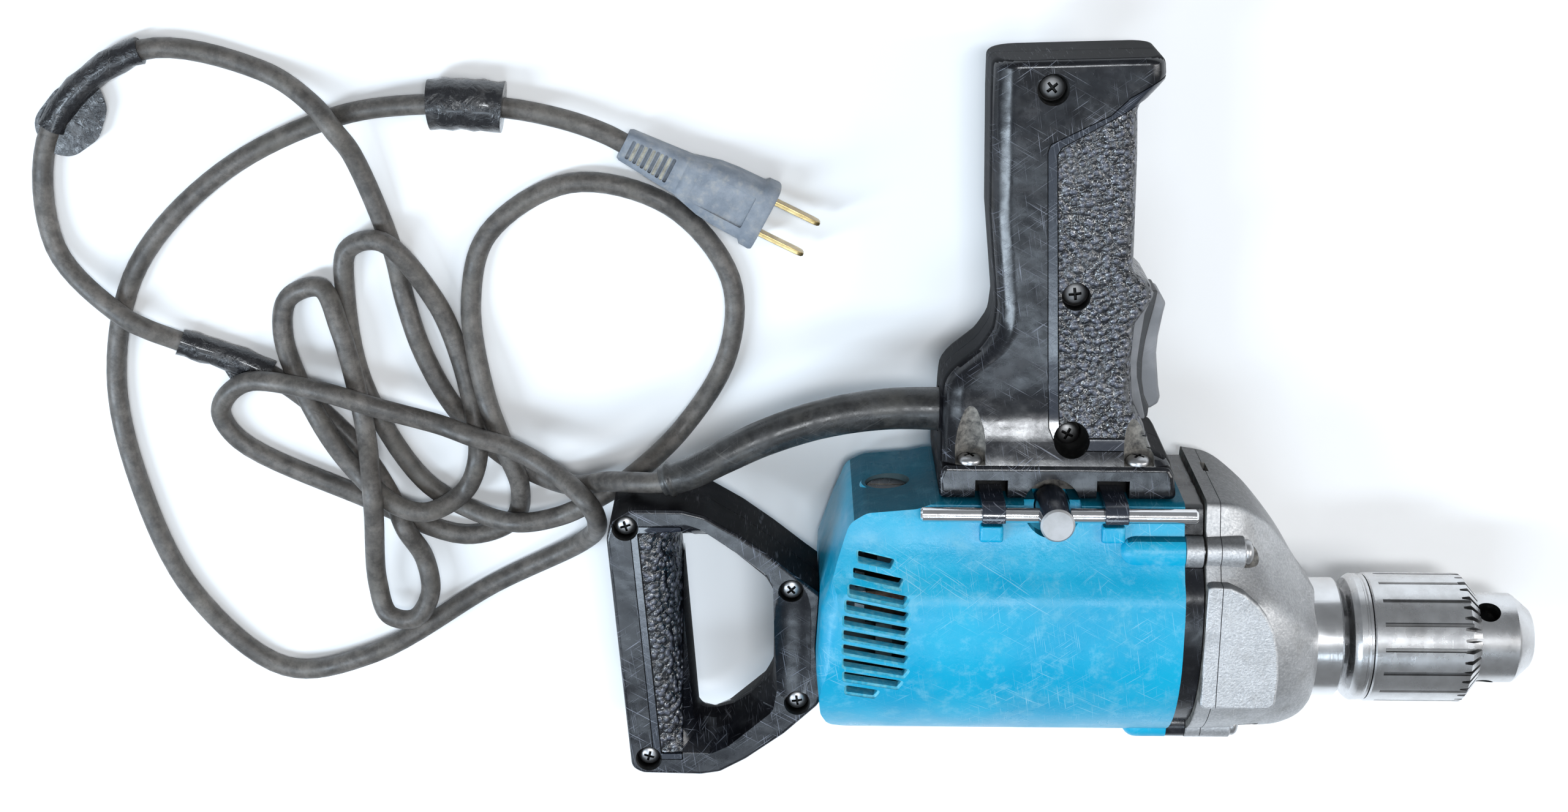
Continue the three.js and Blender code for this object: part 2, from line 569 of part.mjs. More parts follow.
function caseHollow() {
  const stations = CASE_STATIONS.filter(({ x }) => x < CASE_HOLLOW_END)
    .map((station, i) => (i === 0 ? { ...station, x: station.x - FIT } : station));
  return throughRings(stations.map((station) => caseRing(station, CASE_WALL)));
}

// Raised rest pads at both sides, and the thicker wall behind them
function sidePads() {
  const lift = REST_HEIGHT - PLATE.inset + FIT;
  return bothSides((side) => slab(SIDE_PAD, ...ordered(side * lift, side * REST_HEIGHT)));
}

function padRoots() {
  const outline = SIDE_PAD.map(([x, y]) => [Math.max(x, CASE_SPLIT.rear), y]);
  const depth = REST_HEIGHT - PAD_ROOT;
  return bothSides((side) => slab(outline, ...ordered(side * depth, side * REST_HEIGHT)));
}

// Screw bosses of the gear case, with metal behind each screw head
function caseBosses(outside) {
  const { headLength, pocket } = CASE_SCREW;
  return caseScrewPlaces().flatMap(({ y, z, radius, face }) => {
    const back = y === UPPER_BOSS.y ? PLATE.back + FIT : CASE_SPLIT.rear;
    const end = face + headLength + CASE_WALL;
    const backing = rodX(CASE_SPLIT.seam, end, y, z, pocket + CASE_WALL / 2, FACETS.small);
    return [rodX(back, face, y, z, radius, FACETS.small), backing.intersect(outside)];
  });
}

function gearCase() {
  const outside = caseOutside();
  const journal = IDLER.journal;
  const idlerBoss = rodX(
    IDLER_PINION.front + 1, CASE_HOLLOW_END, IDLER.y, IDLER.z, journal + CASE_WALL,
  ).intersect(outside);
  const collar = rodX(CASE_HOLLOW_END, COLLAR.front, 0, 0, COLLAR.radius, FACETS.fine);
  const walls = cut(join(outside, ...padRoots()), caseHollow());
  const shell = join(walls, ...sidePads(), ...caseBosses(outside), idlerBoss, collar);
  return cut(
    shell,
    ...caseScrewPlaces().flatMap(({ y, z, face }) => [
      rodX(face, FAR, y, z, CASE_SCREW.pocket, FACETS.small),
      rodX(0, face + 1, y, z, SCREW_SHANK + FIT, FACETS.small),
    ]),
    rodX(IDLER_PINION.front, IDLER_END + FIT, IDLER.y, IDLER.z, journal + FIT),
    rodX(IDLER_END + 1, SPINDLE_BEARING.front + FIT, 0, 0, SPINDLE_BEARING.radius + FIT, FACETS.fine),
    rodX(SPINDLE_BEARING.front, COLLAR.front + 1, 0, 0, COLLAR.opening),
    rodX(CASE_SPLIT.seam - 1, SPINDLE_GEAR.front + 1, 0, 0, SPINDLE_GEAR.tip + 2 * FIT, FACETS.fine),
    rodX(CASE_SPLIT.rear - 1, IDLER_GEAR.front + 1, IDLER.y, IDLER.z, IDLER_GEAR.tip + 2 * FIT, FACETS.fine),
  );
}

function gearCaseHalf(front) {
  const limits = front ? [CASE_SPLIT.seam + SEAM, FAR] : [-FAR, CASE_SPLIT.seam - SEAM];
  return gearCase().intersect(box(limits, [-FAR, FAR], [-FAR, FAR]));
}

// Slot-headed pan screw along +X, seated at its face
function caseScrew(place) {
  const start = place.face + FIT;
  const { head, headLength, end } = CASE_SCREW;
  return join(
    rodX(start, start + headLength, place.y, place.z, head, FACETS.small),
    rodX(end, start + FIT, place.y, place.z, SCREW_SHANK, FACETS.tiny),
  );
}

function bearing(sizes, y, bore) {
  return ring(sizes.back, sizes.front, y, bore + FIT, sizes.radius, FACETS.medium);
}

function armatureShaft() {
  const { radius, rear, rearRadius, front } = SHAFT;
  const profile = [
    [rear, 0], [rear, rearRadius], [REAR_BEARING.front, rearRadius], [REAR_BEARING.front, radius],
    [front, radius], [front, 0],
  ];
  const toIdler = Math.atan2(IDLER.z, IDLER.y - MOTOR_Y);
  const root = rodX(front - 1, MOTOR_PINION.front, MOTOR_Y, 0, MOTOR_PINION.root, FACETS.small);
  return join(turned(profile, MOTOR_Y, FACETS.medium), root, gear(MOTOR_PINION, MOTOR_Y, 0, toIdler, false));
}

function armatureCore() {
  const { back, front, radius, slots, slotWidth, slotDepth } = CORE;
  const body = ring(back, front, MOTOR_Y, SHAFT.radius + FIT, radius);
  const cutters = Array.from({ length: slots }, (_, i) => {
    const geometry = new THREE.BoxGeometry(front - back + 2, slotDepth, slotWidth);
    geometry.translate(0, radius - slotDepth / 2 + FIT, 0).rotateX((TURN * i) / slots);
    geometry.translate((back + front) / 2, MOTOR_Y, 0);
    return toSolid(geometry);
  });
  return cut(body, ...cutters);
}

function commutator() {
  const { back, front, radius } = COMMUTATOR;
  return ring(back, front, MOTOR_Y, SHAFT.radius + FIT, radius, FACETS.medium);
}

function fan() {
  const { back, front, radius, hub, plate, blades, bladeThickness } = FAN;
  const disc = ring(front - plate, front, MOTOR_Y, SHAFT.radius + FIT, radius);
  const core = ring(back, front, MOTOR_Y, SHAFT.radius + FIT, hub, FACETS.medium);
  const wings = Array.from({ length: blades }, (_, i) => {
    const geometry = new THREE.BoxGeometry(front - back - 1, radius - hub, bladeThickness);
    geometry.translate(0, (radius + hub) / 2 - 1, 0).rotateX((TURN * i) / blades);
    geometry.translate((back + front) / 2 - 0.5, MOTOR_Y, 0);
    return toSolid(geometry);
  });
  return join(disc, core, ...wings);
}

// A [y, z] ring sector around the motor axis, about an angle from +Y to +Z
function sector(inner, outer, middle, half) {
  const steps = FACETS.small;
  const arc = (radius) => Array.from({ length: steps + 1 }, (_, i) => {
    const angle = middle - half + (2 * half * i) / steps;
    return [MOTOR_Y + radius * Math.cos(angle), radius * Math.sin(angle)];
  });
  return [...arc(outer), ...arc(inner).reverse()];
}

function stator() {
  const outer = BORE - FIT;
  const inner = outer - STATOR.ringWall;
  const poles = [0, Math.PI].map((angle) => {
    const outline = sector(STATOR.poleRadius, inner + 1, angle, STATOR.poleHalfAngle);
    return barX(outline, CORE.back, CORE.front);
  });
  return join(ring(CORE.back, CORE.front, MOTOR_Y, inner, outer), ...poles);
}

function coil(side) {
  const outer = BORE - FIT - STATOR.ringWall - FIT;
  const outline = sector(COIL.inner, outer, side * QUARTER, COIL.halfAngle);
  return barX(outline, CORE.back - COIL.overhang, CORE.front + COIL.overhang);
}

function brush({ inner, outer }) {
  const half = BRUSH.side / 2;
  return box([BRUSH.x - half, BRUSH.x + half], ordered(inner, outer), [-half, half]);
}

function brushCap({ side, capInner, capOuter }) {
  const slot = box(
    [BRUSH.x - BRUSH_CAP.radius, BRUSH.x + BRUSH_CAP.radius],
    ordered(capOuter - side * BRUSH_CAP.slotDepth, capOuter + side * FIT),
    [-BRUSH_CAP.slot / 2, BRUSH_CAP.slot / 2],
  );
  return cut(rodY(...ordered(capInner, capOuter), BRUSH.x, 0, BRUSH_CAP.radius), slot);
}

function idlerShaft() {
  const shaft = rodX(SPINDLE.back + FIT, IDLER_END, IDLER.y, IDLER.z, IDLER.journal);
  const toSpindle = Math.atan2(-IDLER.z, -IDLER.y);
  return join(shaft, gear(IDLER_PINION, IDLER.y, IDLER.z, toSpindle, false));
}

function idlerGear() {
  const toMotor = Math.atan2(-IDLER.z, MOTOR_Y - IDLER.y);
  const bore = rodX(IDLER_GEAR.back - 1, IDLER_GEAR.front + 1, IDLER.y, IDLER.z, IDLER.journal + FIT);
  return cut(gear(IDLER_GEAR, IDLER.y, IDLER.z, toMotor, true), bore);
}

function spindleGear() {
  const toIdler = Math.atan2(IDLER.z, IDLER.y);
  const bore = rodX(SPINDLE_GEAR.back - 1, SPINDLE_GEAR.front + 1, 0, 0, SPINDLE.radius + FIT);
  return cut(gear(SPINDLE_GEAR, 0, 0, toIdler, true), bore);
}

function spindle() {
  const { back, journal, journalEnd, radius, shoulder, thread, front } = SPINDLE;
  return turned([
    [back, 0], [back, journal], [journalEnd, journal], [journalEnd, radius],
    [shoulder, radius], [shoulder, thread], [front, thread], [front, 0],
  ], 0, FACETS.medium);
}

// The line of one jaw, its tip first
function jawRod(index, tipAhead, length, radius) {
  const geometry = new THREE.CylinderGeometry(radius, radius, length, FACETS.small);
  geometry.rotateZ(-QUARTER).translate(tipAhead - length / 2, 0, 0);
  geometry.rotateZ(-JAW.lean).translate(JAW.tipX, JAW.tipRadius, 0);
  geometry.rotateX(QUARTER - KEY_HOLES.first + (TURN * (index + 0.5)) / JAW.count);
  return toSolid(geometry);
}

function chuckBody() {
  const c = CHUCK;
  const outside = turned([
    [c.back, 0], [c.back, c.flangeRear], [c.back + 1.2, c.flangeMiddle], [c.back + 3.5, c.flange],
    [c.flangeEnd, c.flange], [c.flangeEnd, c.body], [c.noseStart, c.body], [c.front, c.noseRadius], [c.front, 0],
  ], 0);
  const ahead = c.front - JAW.tipX + JAW.length;
  const boreLength = JAW.length + 2 * JAW.travel + ahead;
  const jawBores = Array.from(
    { length: JAW.count },
    (_, i) => jawRod(i, ahead, boreLength, JAW.radius + FIT),
  );
  const keyHoles = Array.from({ length: JAW.count }, (_, i) => {
    const geometry = new THREE.CylinderGeometry(KEY_HOLES.radius, KEY_HOLES.radius, KEY_HOLES.depth * 2, FACETS.small);
    geometry.translate(KEY_HOLES.x, c.body, 0);
    geometry.rotateX(QUARTER - KEY_HOLES.first + (TURN * i) / JAW.count);
    return toSolid(geometry);
  });
  return cut(
    outside,
    rodX(c.back - 1, SPINDLE.front + FIT, 0, 0, SPINDLE.thread + FIT),
    rodX(c.bitBoreBack, c.front + 1, 0, 0, c.bitBore),
    ...jawBores,
    ...keyHoles,
  );
}

function chuckSleeve() {
  const s = SLEEVE;
  const inner = CHUCK.body + FIT;
  const body = turned([
    [s.back, inner], [s.back, s.radius], [s.bevelStart, s.radius], [s.front, s.bevelFront], [s.front, inner],
    [s.cavityFront, inner], [s.cavityFront, s.cavity], [s.cavityBack, s.cavity], [s.cavityBack, inner], [s.back, inner],
  ], 0);
  const grooves = Array.from({ length: s.grooves }, (_, i) => {
    const geometry = new THREE.BoxGeometry(s.grooveFront - s.back, 2 * s.grooveDepth, s.grooveWidth);
    geometry.translate((s.grooveFront + s.back) / 2 + 1.5, s.radius, 0).rotateX((TURN * (i + 0.5)) / s.grooves);
    return toSolid(geometry);
  });
  const rise = s.radius - s.bevelFront;
  const run = s.front - s.bevelStart;
  const slope = Math.atan2(rise, run);
  const gaps = Array.from({ length: s.teeth }, (_, i) => {
    const geometry = new THREE.BoxGeometry(Math.hypot(rise, run) * 1.2, 2 * s.toothDepth, s.toothGap);
    geometry.rotateZ(-slope).translate((s.front + s.bevelStart) / 2 + FIT, (s.radius + s.bevelFront) / 2, 0);
    geometry.rotateX((TURN * i) / s.teeth);
    return toSolid(geometry);
  });
  return cut(body, ...grooves, ...gaps);
}

// One half of a moulded handle, on its own side of the seam
function halfShell(solid, side) {
  return solid.intersect(box([-FAR, FAR], [-FAR, FAR], ordered(side * SEAM, side * FAR)));
}

function screwHoles(places, screw, side) {
  return places.map(([x, y]) => {
    const shank = rodZ(screw.end - FIT, screw.headTop, x, y, SCREW_SHANK + FIT, FACETS.small);
    const head = rodZ(screw.headBottom - FIT, REST_HEIGHT, x, y, screw.head + FIT, FACETS.medium);
    return side > 0 ? shank.add(head) : shank;
  });
}

function screwPosts(places, screw, half, outside, side) {
  const limits = ordered(side * SEAM, side * half);
  return places.map(([x, y]) => rodZ(...limits, x, y, screw.post, FACETS.medium).intersect(outside));
}

function crossScrew([x, y], screw) {
  const head = rodZ(screw.headBottom, screw.headTop, x, y, screw.head, FACETS.small);
  return join(head, rodZ(screw.end, screw.headBottom + FIT, x, y, SCREW_SHANK, FACETS.tiny));
}

function guardCurve() {
  return new THREE.CatmullRomCurve3(GUARD_POINTS.map((point) => liftedPoint(point)), false, 'centripetal');
}

function guardOutside(extra) {
  const curve = guardCurve();
  const rings = [];
  for (let i = 0; i <= GUARD.steps; i += 1) {
    const share = i / GUARD.steps;
    const taper = GUARD.start + (GUARD.end - GUARD.start) * share;
    const radius = share > GUARD.lipAt ? GUARD.lip : taper;
    rings.push(ringAlong(curve, share, radius + extra, radius + extra, GUARD.sides));
  }
  return throughRings(rings);
}

function trigger() {
  const { pad, half, stemBack, stemLow, stemHigh } = TRIGGER;
  return join(
    slab(pad, -half, half, 1.2),
    box([stemBack, pad[0][0] + 2], [stemLow, stemHigh], [-half + 1, half - 1]),
  );
}

function triggerSpace() {
  const { pad, half, stemBack, stemLow, stemHigh, travel } = TRIGGER;
  const gap = 2 * FIT;
  const [root, low] = pad[0];
  const high = pad[pad.length - 2][1];
  const sides = [-half - FIT, half + FIT];
  const cleared = pad.map(([x, y]) => [x < root + 1 ? x - travel - gap : x + FAR, y]);
  return join(
    box([root - travel - gap, 0], [low - gap, high + gap], sides),
    box([stemBack - travel - gap, root], [stemLow - gap, stemHigh + gap], sides),
    slab(cleared, ...sides),
  );
}

function gripOutside() {
  const { half, round, baseHalf, baseRound } = GRIP;
  const flare = barX([...GRIP_FLARE, ...mirrored(GRIP_FLARE).reverse()], -FAR, 0)
    .intersect(slab(GRIP_TOP, -baseHalf, baseHalf));
  const base = slab(GRIP_BASE, -baseHalf, baseHalf, baseRound);
  return join(slab(GRIP_TOP, -half, half, round), flare, base)
    .intersect(box([-FAR, FAR], [HOUSING.deckY + FIT, FAR], [-FAR, FAR]));
}

function gripShell(side) {
  const { half, wall, baseTop, openTop } = GRIP;
  const under = HOUSING.deckY + FIT - 1;
  const outside = gripOutside();
  const hollow = slab(grown(GRIP_TOP, -wall), -half + wall, half - wall)
    .intersect(box([-FAR, FAR], [baseTop + wall, FAR], [-FAR, FAR]));
  const posts = screwPosts(GRIP_SCREWS, GRIP_SCREW, half - 1, outside, side);
  const notches = STRAPS.backs.map((back) => box(
    [back - FIT, back + STRAPS.width + FIT],
    [under, openTop],
    ordered(side * (STRAPS.root - FIT), side * REST_HEIGHT),
  ));
  const pockets = baseScrewPlaces().flatMap(({ x, z }) => [
    rodY(BASE_SCREW.headBottom - FIT, BASE_SCREW.pocketTop, x, z, BASE_SCREW.pocket, FACETS.small),
    rodY(under, BASE_SCREW.headBottom, x, z, BASE_SCREW.shank + FIT, FACETS.small),
  ]);
  return cut(
    join(halfShell(cut(outside, hollow), side), ...posts),
    triggerSpace(),
    guardOutside(FIT),
    keyHole(),
    ...notches,
    ...pockets,
    ...screwHoles(GRIP_SCREWS, GRIP_SCREW, side),
    slab(GRIP_BEAK, -half, half),
  );
}

function switchBody() {
  const { back, front, low, high } = SWITCH;
  const half = GRIP.half - GRIP.wall - FIT;
  return box([back, front], [low, high], [-half, half]);
}

function baseScrew({ x, z }) {
  const { head, headBottom, headTop, shank, end } = BASE_SCREW;
  return join(
    rodY(headBottom, headTop, x, z, head, FACETS.small),
    rodY(end, headBottom + FIT, x, z, shank, FACETS.tiny),
  );
}

function handleShell(side) {
  const { half, wall, round, neckGap } = HANDLE;
  const hole = slab(HANDLE_HOLE, -REST_HEIGHT, REST_HEIGHT);
  const outside = cut(slab(HANDLE_OUTER, -half, half, round), hole);
  const inner = slab(grown(HANDLE_OUTER, -wall), -half + wall, half - wall);
  const hollow = cut(inner, slab(grown(HANDLE_HOLE, wall), -REST_HEIGHT, REST_HEIGHT));
  const posts = screwPosts(HANDLE_SCREWS, HANDLE_SCREW, half - 1, outside, side);
  const housingSpace = slab(grown(HOUSING_SIDE, neckGap), -REST_HEIGHT, REST_HEIGHT);
  return cut(
    join(halfShell(cut(outside, hollow), side), ...posts),
    housingSpace,
    guardOutside(FIT),
    ...screwHoles(HANDLE_SCREWS, HANDLE_SCREW, side),
  );
}

function chuckKey() {
  const { x, y, radius, top, bottom, pilot, pilotEnd } = KEY;
  return join(
    rodZ(bottom, top, x, y, radius),
    rodZ(pilotEnd, bottom + 1, x, y, pilot),
    rodX(KEY_BAR.back, KEY_BAR.front, y, KEY_BAR.z, KEY_BAR.radius, FACETS.small),
  );
}

// A strap that reaches out of the grip and snaps round the bar of the key
function keyStrap(back) {
  const { width, thick, root, opening, steps } = STRAPS;
  const inner = KEY_BAR.radius + FIT;
  const outer = inner + thick;
  const arc = (radius) => Array.from({ length: steps + 1 }, (_, i) => {
    const angle = opening * ((2 * i) / steps - 1);
    return [KEY.y + radius * Math.cos(angle), KEY_BAR.z + radius * Math.sin(angle)];
  });
  const clip = barX([...arc(outer), ...arc(inner).reverse()], back, back + width);
  return join(clip, box([back, back + width], [KEY.y + inner, KEY.y + outer], [root, KEY_BAR.z]));
}

function liftedPoint([x, y, height]) {
  return new THREE.Vector3(x, y, height - REST_HEIGHT);
}

function cordCurve() {
  return new THREE.CatmullRomCurve3(CORD_POINTS.map((point) => liftedPoint(point)), false, 'centripetal');
}

function circle(radius, sides) {
  return Array.from({ length: sides }, (_, i) => {
    const angle = (TURN * i) / sides;
    return new THREE.Vector2(radius * Math.cos(angle), radius * Math.sin(angle));
  });
}

function tube(curve, radius, steps, sides) {
  const shape = new THREE.Shape(circle(radius, sides));
  return toSolid(new THREE.ExtrudeGeometry(shape, { steps, extrudePath: curve, bevelEnabled: false }));
}

function cord() {
  return tube(cordCurve(), CORD_DIAMETER / 2, CORD_STEPS, CORD_SIDES);
}

function cordGuard() {
  const points = CORD_POINTS.slice(0, 6).map((point) => liftedPoint(point));
  const before = points[0].clone().lerp(points[1], -GUARD.boreStart);
  const bore = new THREE.CatmullRomCurve3([before, ...points], false, 'centripetal');
  return cut(guardOutside(0), tube(bore, CORD_DIAMETER / 2 + GUARD.loose, GUARD.steps, FACETS.small));
}

// The plug body, along its own line from the cord to the blades
function plugFrame() {
  const [x0, y0] = PLUG.back;
  const [x1, y1] = PLUG.front;
  const start = new THREE.Vector3(x0, y0, PLUG.height - REST_HEIGHT);
  const line = new THREE.Vector3(x1 - x0, y1 - y0, 0);
  const length = line.length();
  return { start, length, along: line.normalize(), across: new THREE.Vector3(-line.y, line.x, 0) };
}

function plugPoint(frame, s, a, h) {
  return frame.start.clone()
    .addScaledVector(frame.along, s)
    .addScaledVector(frame.across, a)
    .add(new THREE.Vector3(0, 0, h));
}

function plugRing(frame, s, halfWidth, halfHeight) {
  const sides = FACETS.medium;
  const squash = (value, half) => half * Math.sign(value) * Math.abs(value) ** (2 * PLUG.corner);
  return Array.from({ length: sides }, (_, i) => {
    const angle = (TURN * (i + 0.5)) / sides;
    return plugPoint(frame, s, squash(Math.cos(angle), halfWidth), squash(Math.sin(angle), halfHeight));
  });
}

function bladeSolid(side, extra) {
  const frame = plugFrame();
  const { length, sunk, thick, width } = BLADE;
  const geometry = new THREE.BoxGeometry(length + sunk, thick + 2 * extra, width + 2 * extra);
  geometry.translate(frame.length + (length - sunk) / 2, (side * BLADE.spacing) / 2, 0);
  geometry.rotateZ(Math.atan2(frame.along.y, frame.along.x));
  geometry.translate(frame.start.x, frame.start.y, frame.start.z);
  return toSolid(geometry);
}

function plugBody() {
  const frame = plugFrame();
  const body = throughRings(PLUG.lengths.map(
    (share, i) => plugRing(frame, share * frame.length, PLUG.halfWidths[i], PLUG.halfHeights[i]),
  ));
  const socket = throughRings([-1, PLUG.socket].map((s) => circle(CORD_DIAMETER / 2 + FIT, FACETS.small)
    .map(({ x, y }) => plugPoint(frame, s, x, y))));
  return cut(body, socket, bladeSolid(1, FIT), bladeSolid(-1, FIT));
}

// Tape wound round the cord between two of its route points, with a loose flag
function tape({ first, last, flag, radius }) {
  const points = CORD_POINTS.slice(first - 1, last + 2).map((point) => liftedPoint(point));
  const whole = new THREE.CatmullRomCurve3(points, false, 'centripetal');
  const inner = CORD_DIAMETER / 2 + TAPE.gap;
  const outer = radius ?? inner + TAPE.wall;
  const wrap = tube(whole, outer, TAPE.steps, TAPE.sides);
  const core = tube(cordCurve(), inner, CORD_STEPS, CORD_SIDES);
  const [start, end] = [liftedPoint(CORD_POINTS[first]), liftedPoint(CORD_POINTS[last])];
  const middle = start.clone().add(end).divideScalar(2);
  const block = new THREE.BoxGeometry(start.distanceTo(end), 6 * outer, 6 * outer);
  block.rotateZ(Math.atan2(end.y - start.y, end.x - start.x)).translate(middle.x, middle.y, middle.z);
  const sleeve = wrap.intersect(toSolid(block));
  if (!flag) return cut(sleeve, core);
  const flagSolid = slab(flag, middle.z - TAPE.flagThickness / 2, middle.z + TAPE.flagThickness / 2);
  return cut(join(sleeve, flagSolid), core);
}

// Materials
const tealPlastic = () => new THREE.MeshStandardMaterial({ color: 0x1f5f66, roughness: 0.5 });
const blackPlastic = () => new THREE.MeshStandardMaterial({ color: 0x1a1a1c, roughness: 0.55 });
const blackRubber = () => new THREE.MeshStandardMaterial({ color: 0x141416, roughness: 0.75 });
const castMetal = () => new THREE.MeshStandardMaterial({ color: 0x9fa3a5, roughness: 0.5, metalness: 0.7 });
const darkSteel = () => new THREE.MeshStandardMaterial({ color: 0x54565a, roughness: 0.4, metalness: 0.9 });
const brightSteel = () => new THREE.MeshStandardMaterial({ color: 0xc4c6c8, roughness: 0.2, metalness: 1 });
const copper = () => new THREE.MeshStandardMaterial({ color: 0xa8643c, roughness: 0.4, metalness: 0.9 });
const brass = () => new THREE.MeshStandardMaterial({ color: 0xb49a58, roughness: 0.35, metalness: 1 });
const carbon = () => new THREE.MeshStandardMaterial({ color: 0x2b2b2d, roughness: 0.8 });
const greyRubber = () => new THREE.MeshStandardMaterial({ color: 0x6a7682, roughness: 0.7 });
const tapePlastic = () => new THREE.MeshStandardMaterial({ color: 0x222226, roughness: 0.35 });

const drill = new THREE.Group();

function add(name, solid, material) {
  const mesh = new THREE.Mesh(toGeometry(solid), material);
  mesh.name = name;
  drill.add(mesh);
}

add('motor_housing', motorHousing(), tealPlastic());
add('gear_plate', gearPlate(), blackPlastic());
add('gear_case_rear', gearCaseHalf(false), castMetal());
add('gear_case_front', gearCaseHalf(true), castMetal());
caseScrewPlaces().forEach((place, i) => add(`case_screw_${i + 1}`, caseScrew(place), darkSteel()));
add('stator', stator(), darkSteel());
add('field_coil_near', coil(1), copper());
add('field_coil_far', coil(-1), copper());
add('armature_shaft', armatureShaft(), brightSteel());
add('armature_core', armatureCore(), darkSteel());
add('commutator', commutator(), copper());
add('fan', fan(), blackPlastic());
add('bearing_front', bearing(FRONT_BEARING, MOTOR_Y, SHAFT.radius), brightSteel());
add('bearing_rear', bearing(REAR_BEARING, MOTOR_Y, SHAFT.rearRadius), brightSteel());
brushPlaces().forEach((place, i) => {
  const name = i === 0 ? 'upper' : 'lower';
  add(`brush_${name}`, brush(place), carbon());
  add(`brush_cap_${name}`, brushCap(place), blackPlastic());
});
add('idler_shaft', idlerShaft(), brightSteel());
add('idler_gear', idlerGear(), darkSteel());
add('spindle', spindle(), brightSteel());
add('spindle_gear', spindleGear(), darkSteel());
add('bearing_spindle', bearing(SPINDLE_BEARING, 0, SPINDLE.radius), brightSteel());
add('chuck_body', chuckBody(), darkSteel());
add('chuck_sleeve', chuckSleeve(), darkSteel());
for (let i = 0; i < JAW.count; i += 1) {
  add(`jaw_${i + 1}`, jawRod(i, 0, JAW.length, JAW.radius), brightSteel());
}
add('grip_near', gripShell(1), blackPlastic());
add('grip_far', gripShell(-1), blackPlastic());
GRIP_SCREWS.forEach((place, i) => add(`grip_screw_${i + 1}`, crossScrew(place, GRIP_SCREW), darkSteel()));
baseScrewPlaces().forEach((place, i) => add(`base_screw_${i + 1}`, baseScrew(place), darkSteel()));
add('trigger', trigger(), blackPlastic());
add('switch_body', switchBody(), blackPlastic());
add('handle_near', handleShell(1), blackPlastic());
add('handle_far', handleShell(-1), blackPlastic());
HANDLE_SCREWS.forEach((place, i) => add(`handle_screw_${i + 1}`, crossScrew(place, HANDLE_SCREW), darkSteel()));
add('chuck_key', chuckKey(), brightSteel());
STRAPS.backs.forEach((back, i) => add(`key_strap_${i + 1}`, keyStrap(back), blackRubber()));
add('cord_guard', cordGuard(), blackRubber());
add('cord', cord(), blackRubber());
add('plug_body', plugBody(), greyRubber());
add('plug_blade_left', bladeSolid(1, 0), brass());
add('plug_blade_right', bladeSolid(-1, 0), brass());
add('tape_long', tape(TAPE_LONG), tapePlastic());
add('tape_short', tape(TAPE_SHORT), tapePlastic());
add('tape_roll', tape(TAPE_ROLL), tapePlastic());

// Put the origin below the middle of the drill itself, without its cord
const CORD_NODES = [
  'cord', 'plug_body', 'plug_blade_left', 'plug_blade_right', 'tape_long', 'tape_short', 'tape_roll',
];
const bounds = new THREE.Box3();
drill.children.filter(({ name }) => !CORD_NODES.includes(name)).forEach((mesh) => bounds.expandByObject(mesh));
const centre = bounds.getCenter(new THREE.Vector3());
drill.position.set(-centre.x, -centre.y, -bounds.min.z);
drill.updateMatrixWorld(true);

export default drill;
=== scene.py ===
import math

import bmesh
import bpy
from mathutils import Matrix, Vector


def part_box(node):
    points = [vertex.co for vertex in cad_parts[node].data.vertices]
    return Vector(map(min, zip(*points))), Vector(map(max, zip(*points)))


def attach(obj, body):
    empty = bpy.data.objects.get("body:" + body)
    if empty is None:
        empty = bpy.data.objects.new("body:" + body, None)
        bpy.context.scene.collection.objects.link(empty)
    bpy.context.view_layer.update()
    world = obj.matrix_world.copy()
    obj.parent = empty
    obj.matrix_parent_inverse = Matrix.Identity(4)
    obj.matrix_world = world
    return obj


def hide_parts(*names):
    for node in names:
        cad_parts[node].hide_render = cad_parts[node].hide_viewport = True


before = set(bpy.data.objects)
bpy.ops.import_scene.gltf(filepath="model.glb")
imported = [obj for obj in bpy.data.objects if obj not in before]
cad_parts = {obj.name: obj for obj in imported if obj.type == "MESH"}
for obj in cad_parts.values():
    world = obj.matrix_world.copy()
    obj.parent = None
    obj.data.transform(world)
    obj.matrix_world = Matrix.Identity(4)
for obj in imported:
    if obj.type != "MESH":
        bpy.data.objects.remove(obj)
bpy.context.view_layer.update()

# The drawing's zero: on the spindle axis, level with the front face of the solids' housing
MM = 0.001
SPINDLE_LOW, SPINDLE_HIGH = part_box("spindle")
ZERO = Vector((
    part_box("motor_housing")[1][0],
    (SPINDLE_LOW[1] + SPINDLE_HIGH[1]) / 2,
    (SPINDLE_LOW[2] + SPINDLE_HIGH[2]) / 2,
))
TABLE = 45.0
QUARTER = math.pi / 2
TURN = 2 * math.pi
FAR = 400.0
WIDE = (-50, 50)
SEAM = 0.15
SIDEWAYS = 0.35
NEAR_AND_FAR = (1, -1)

# Camera
CAMERA_AT = (-0.10475, 0.26586, 0.8534)
CAMERA_TILT = math.radians(18)
CAMERA_ROLL = math.radians(0.5)
CAMERA_LENS = 55.195

# Motor housing, in millimetres
MOTOR_Y = 16
HALF = 45.7
FLAT = 45.0
BELLY = -33
HOUSING = {
    "back": -132, "front": -3.4, "corner": 7, "edge": 8, "bore": 40.8, "bore_back": -126, "wall": 3.2,
    "inner_corner": 4,
}
HOUSING_SECTION = {
    "top": 62, "deck": 29, "crease": 37, "out": 39.7, "half": HALF, "down": MOTOR_Y - BELLY,
    "middle": MOTOR_Y,
}
HOUSING_SIDE = [
    (20, 62), (-88, 62), (-96, 59.5), (-113, 58), (-119, 54.5), (-128.7, 26), (-130, 2),
    (-128.2, -17), (-125.5, -24.5), (-120, -28), (-91, -31), (-50, -32.8), (20, -33.2),
]
FLANK_PULLS = (0.985, 0.96, 0.945, 0.95, 0.97)
DECK_ROUND = ((2.2, 2.1), (1.0, 1.6), (0.3, 0.6), (0.0, -1.0))
VENT_LEFTS = [-116, -117.7, -119, -120, -120.7, -120.8, -120.8, -120.7, -120.3, -119.4]
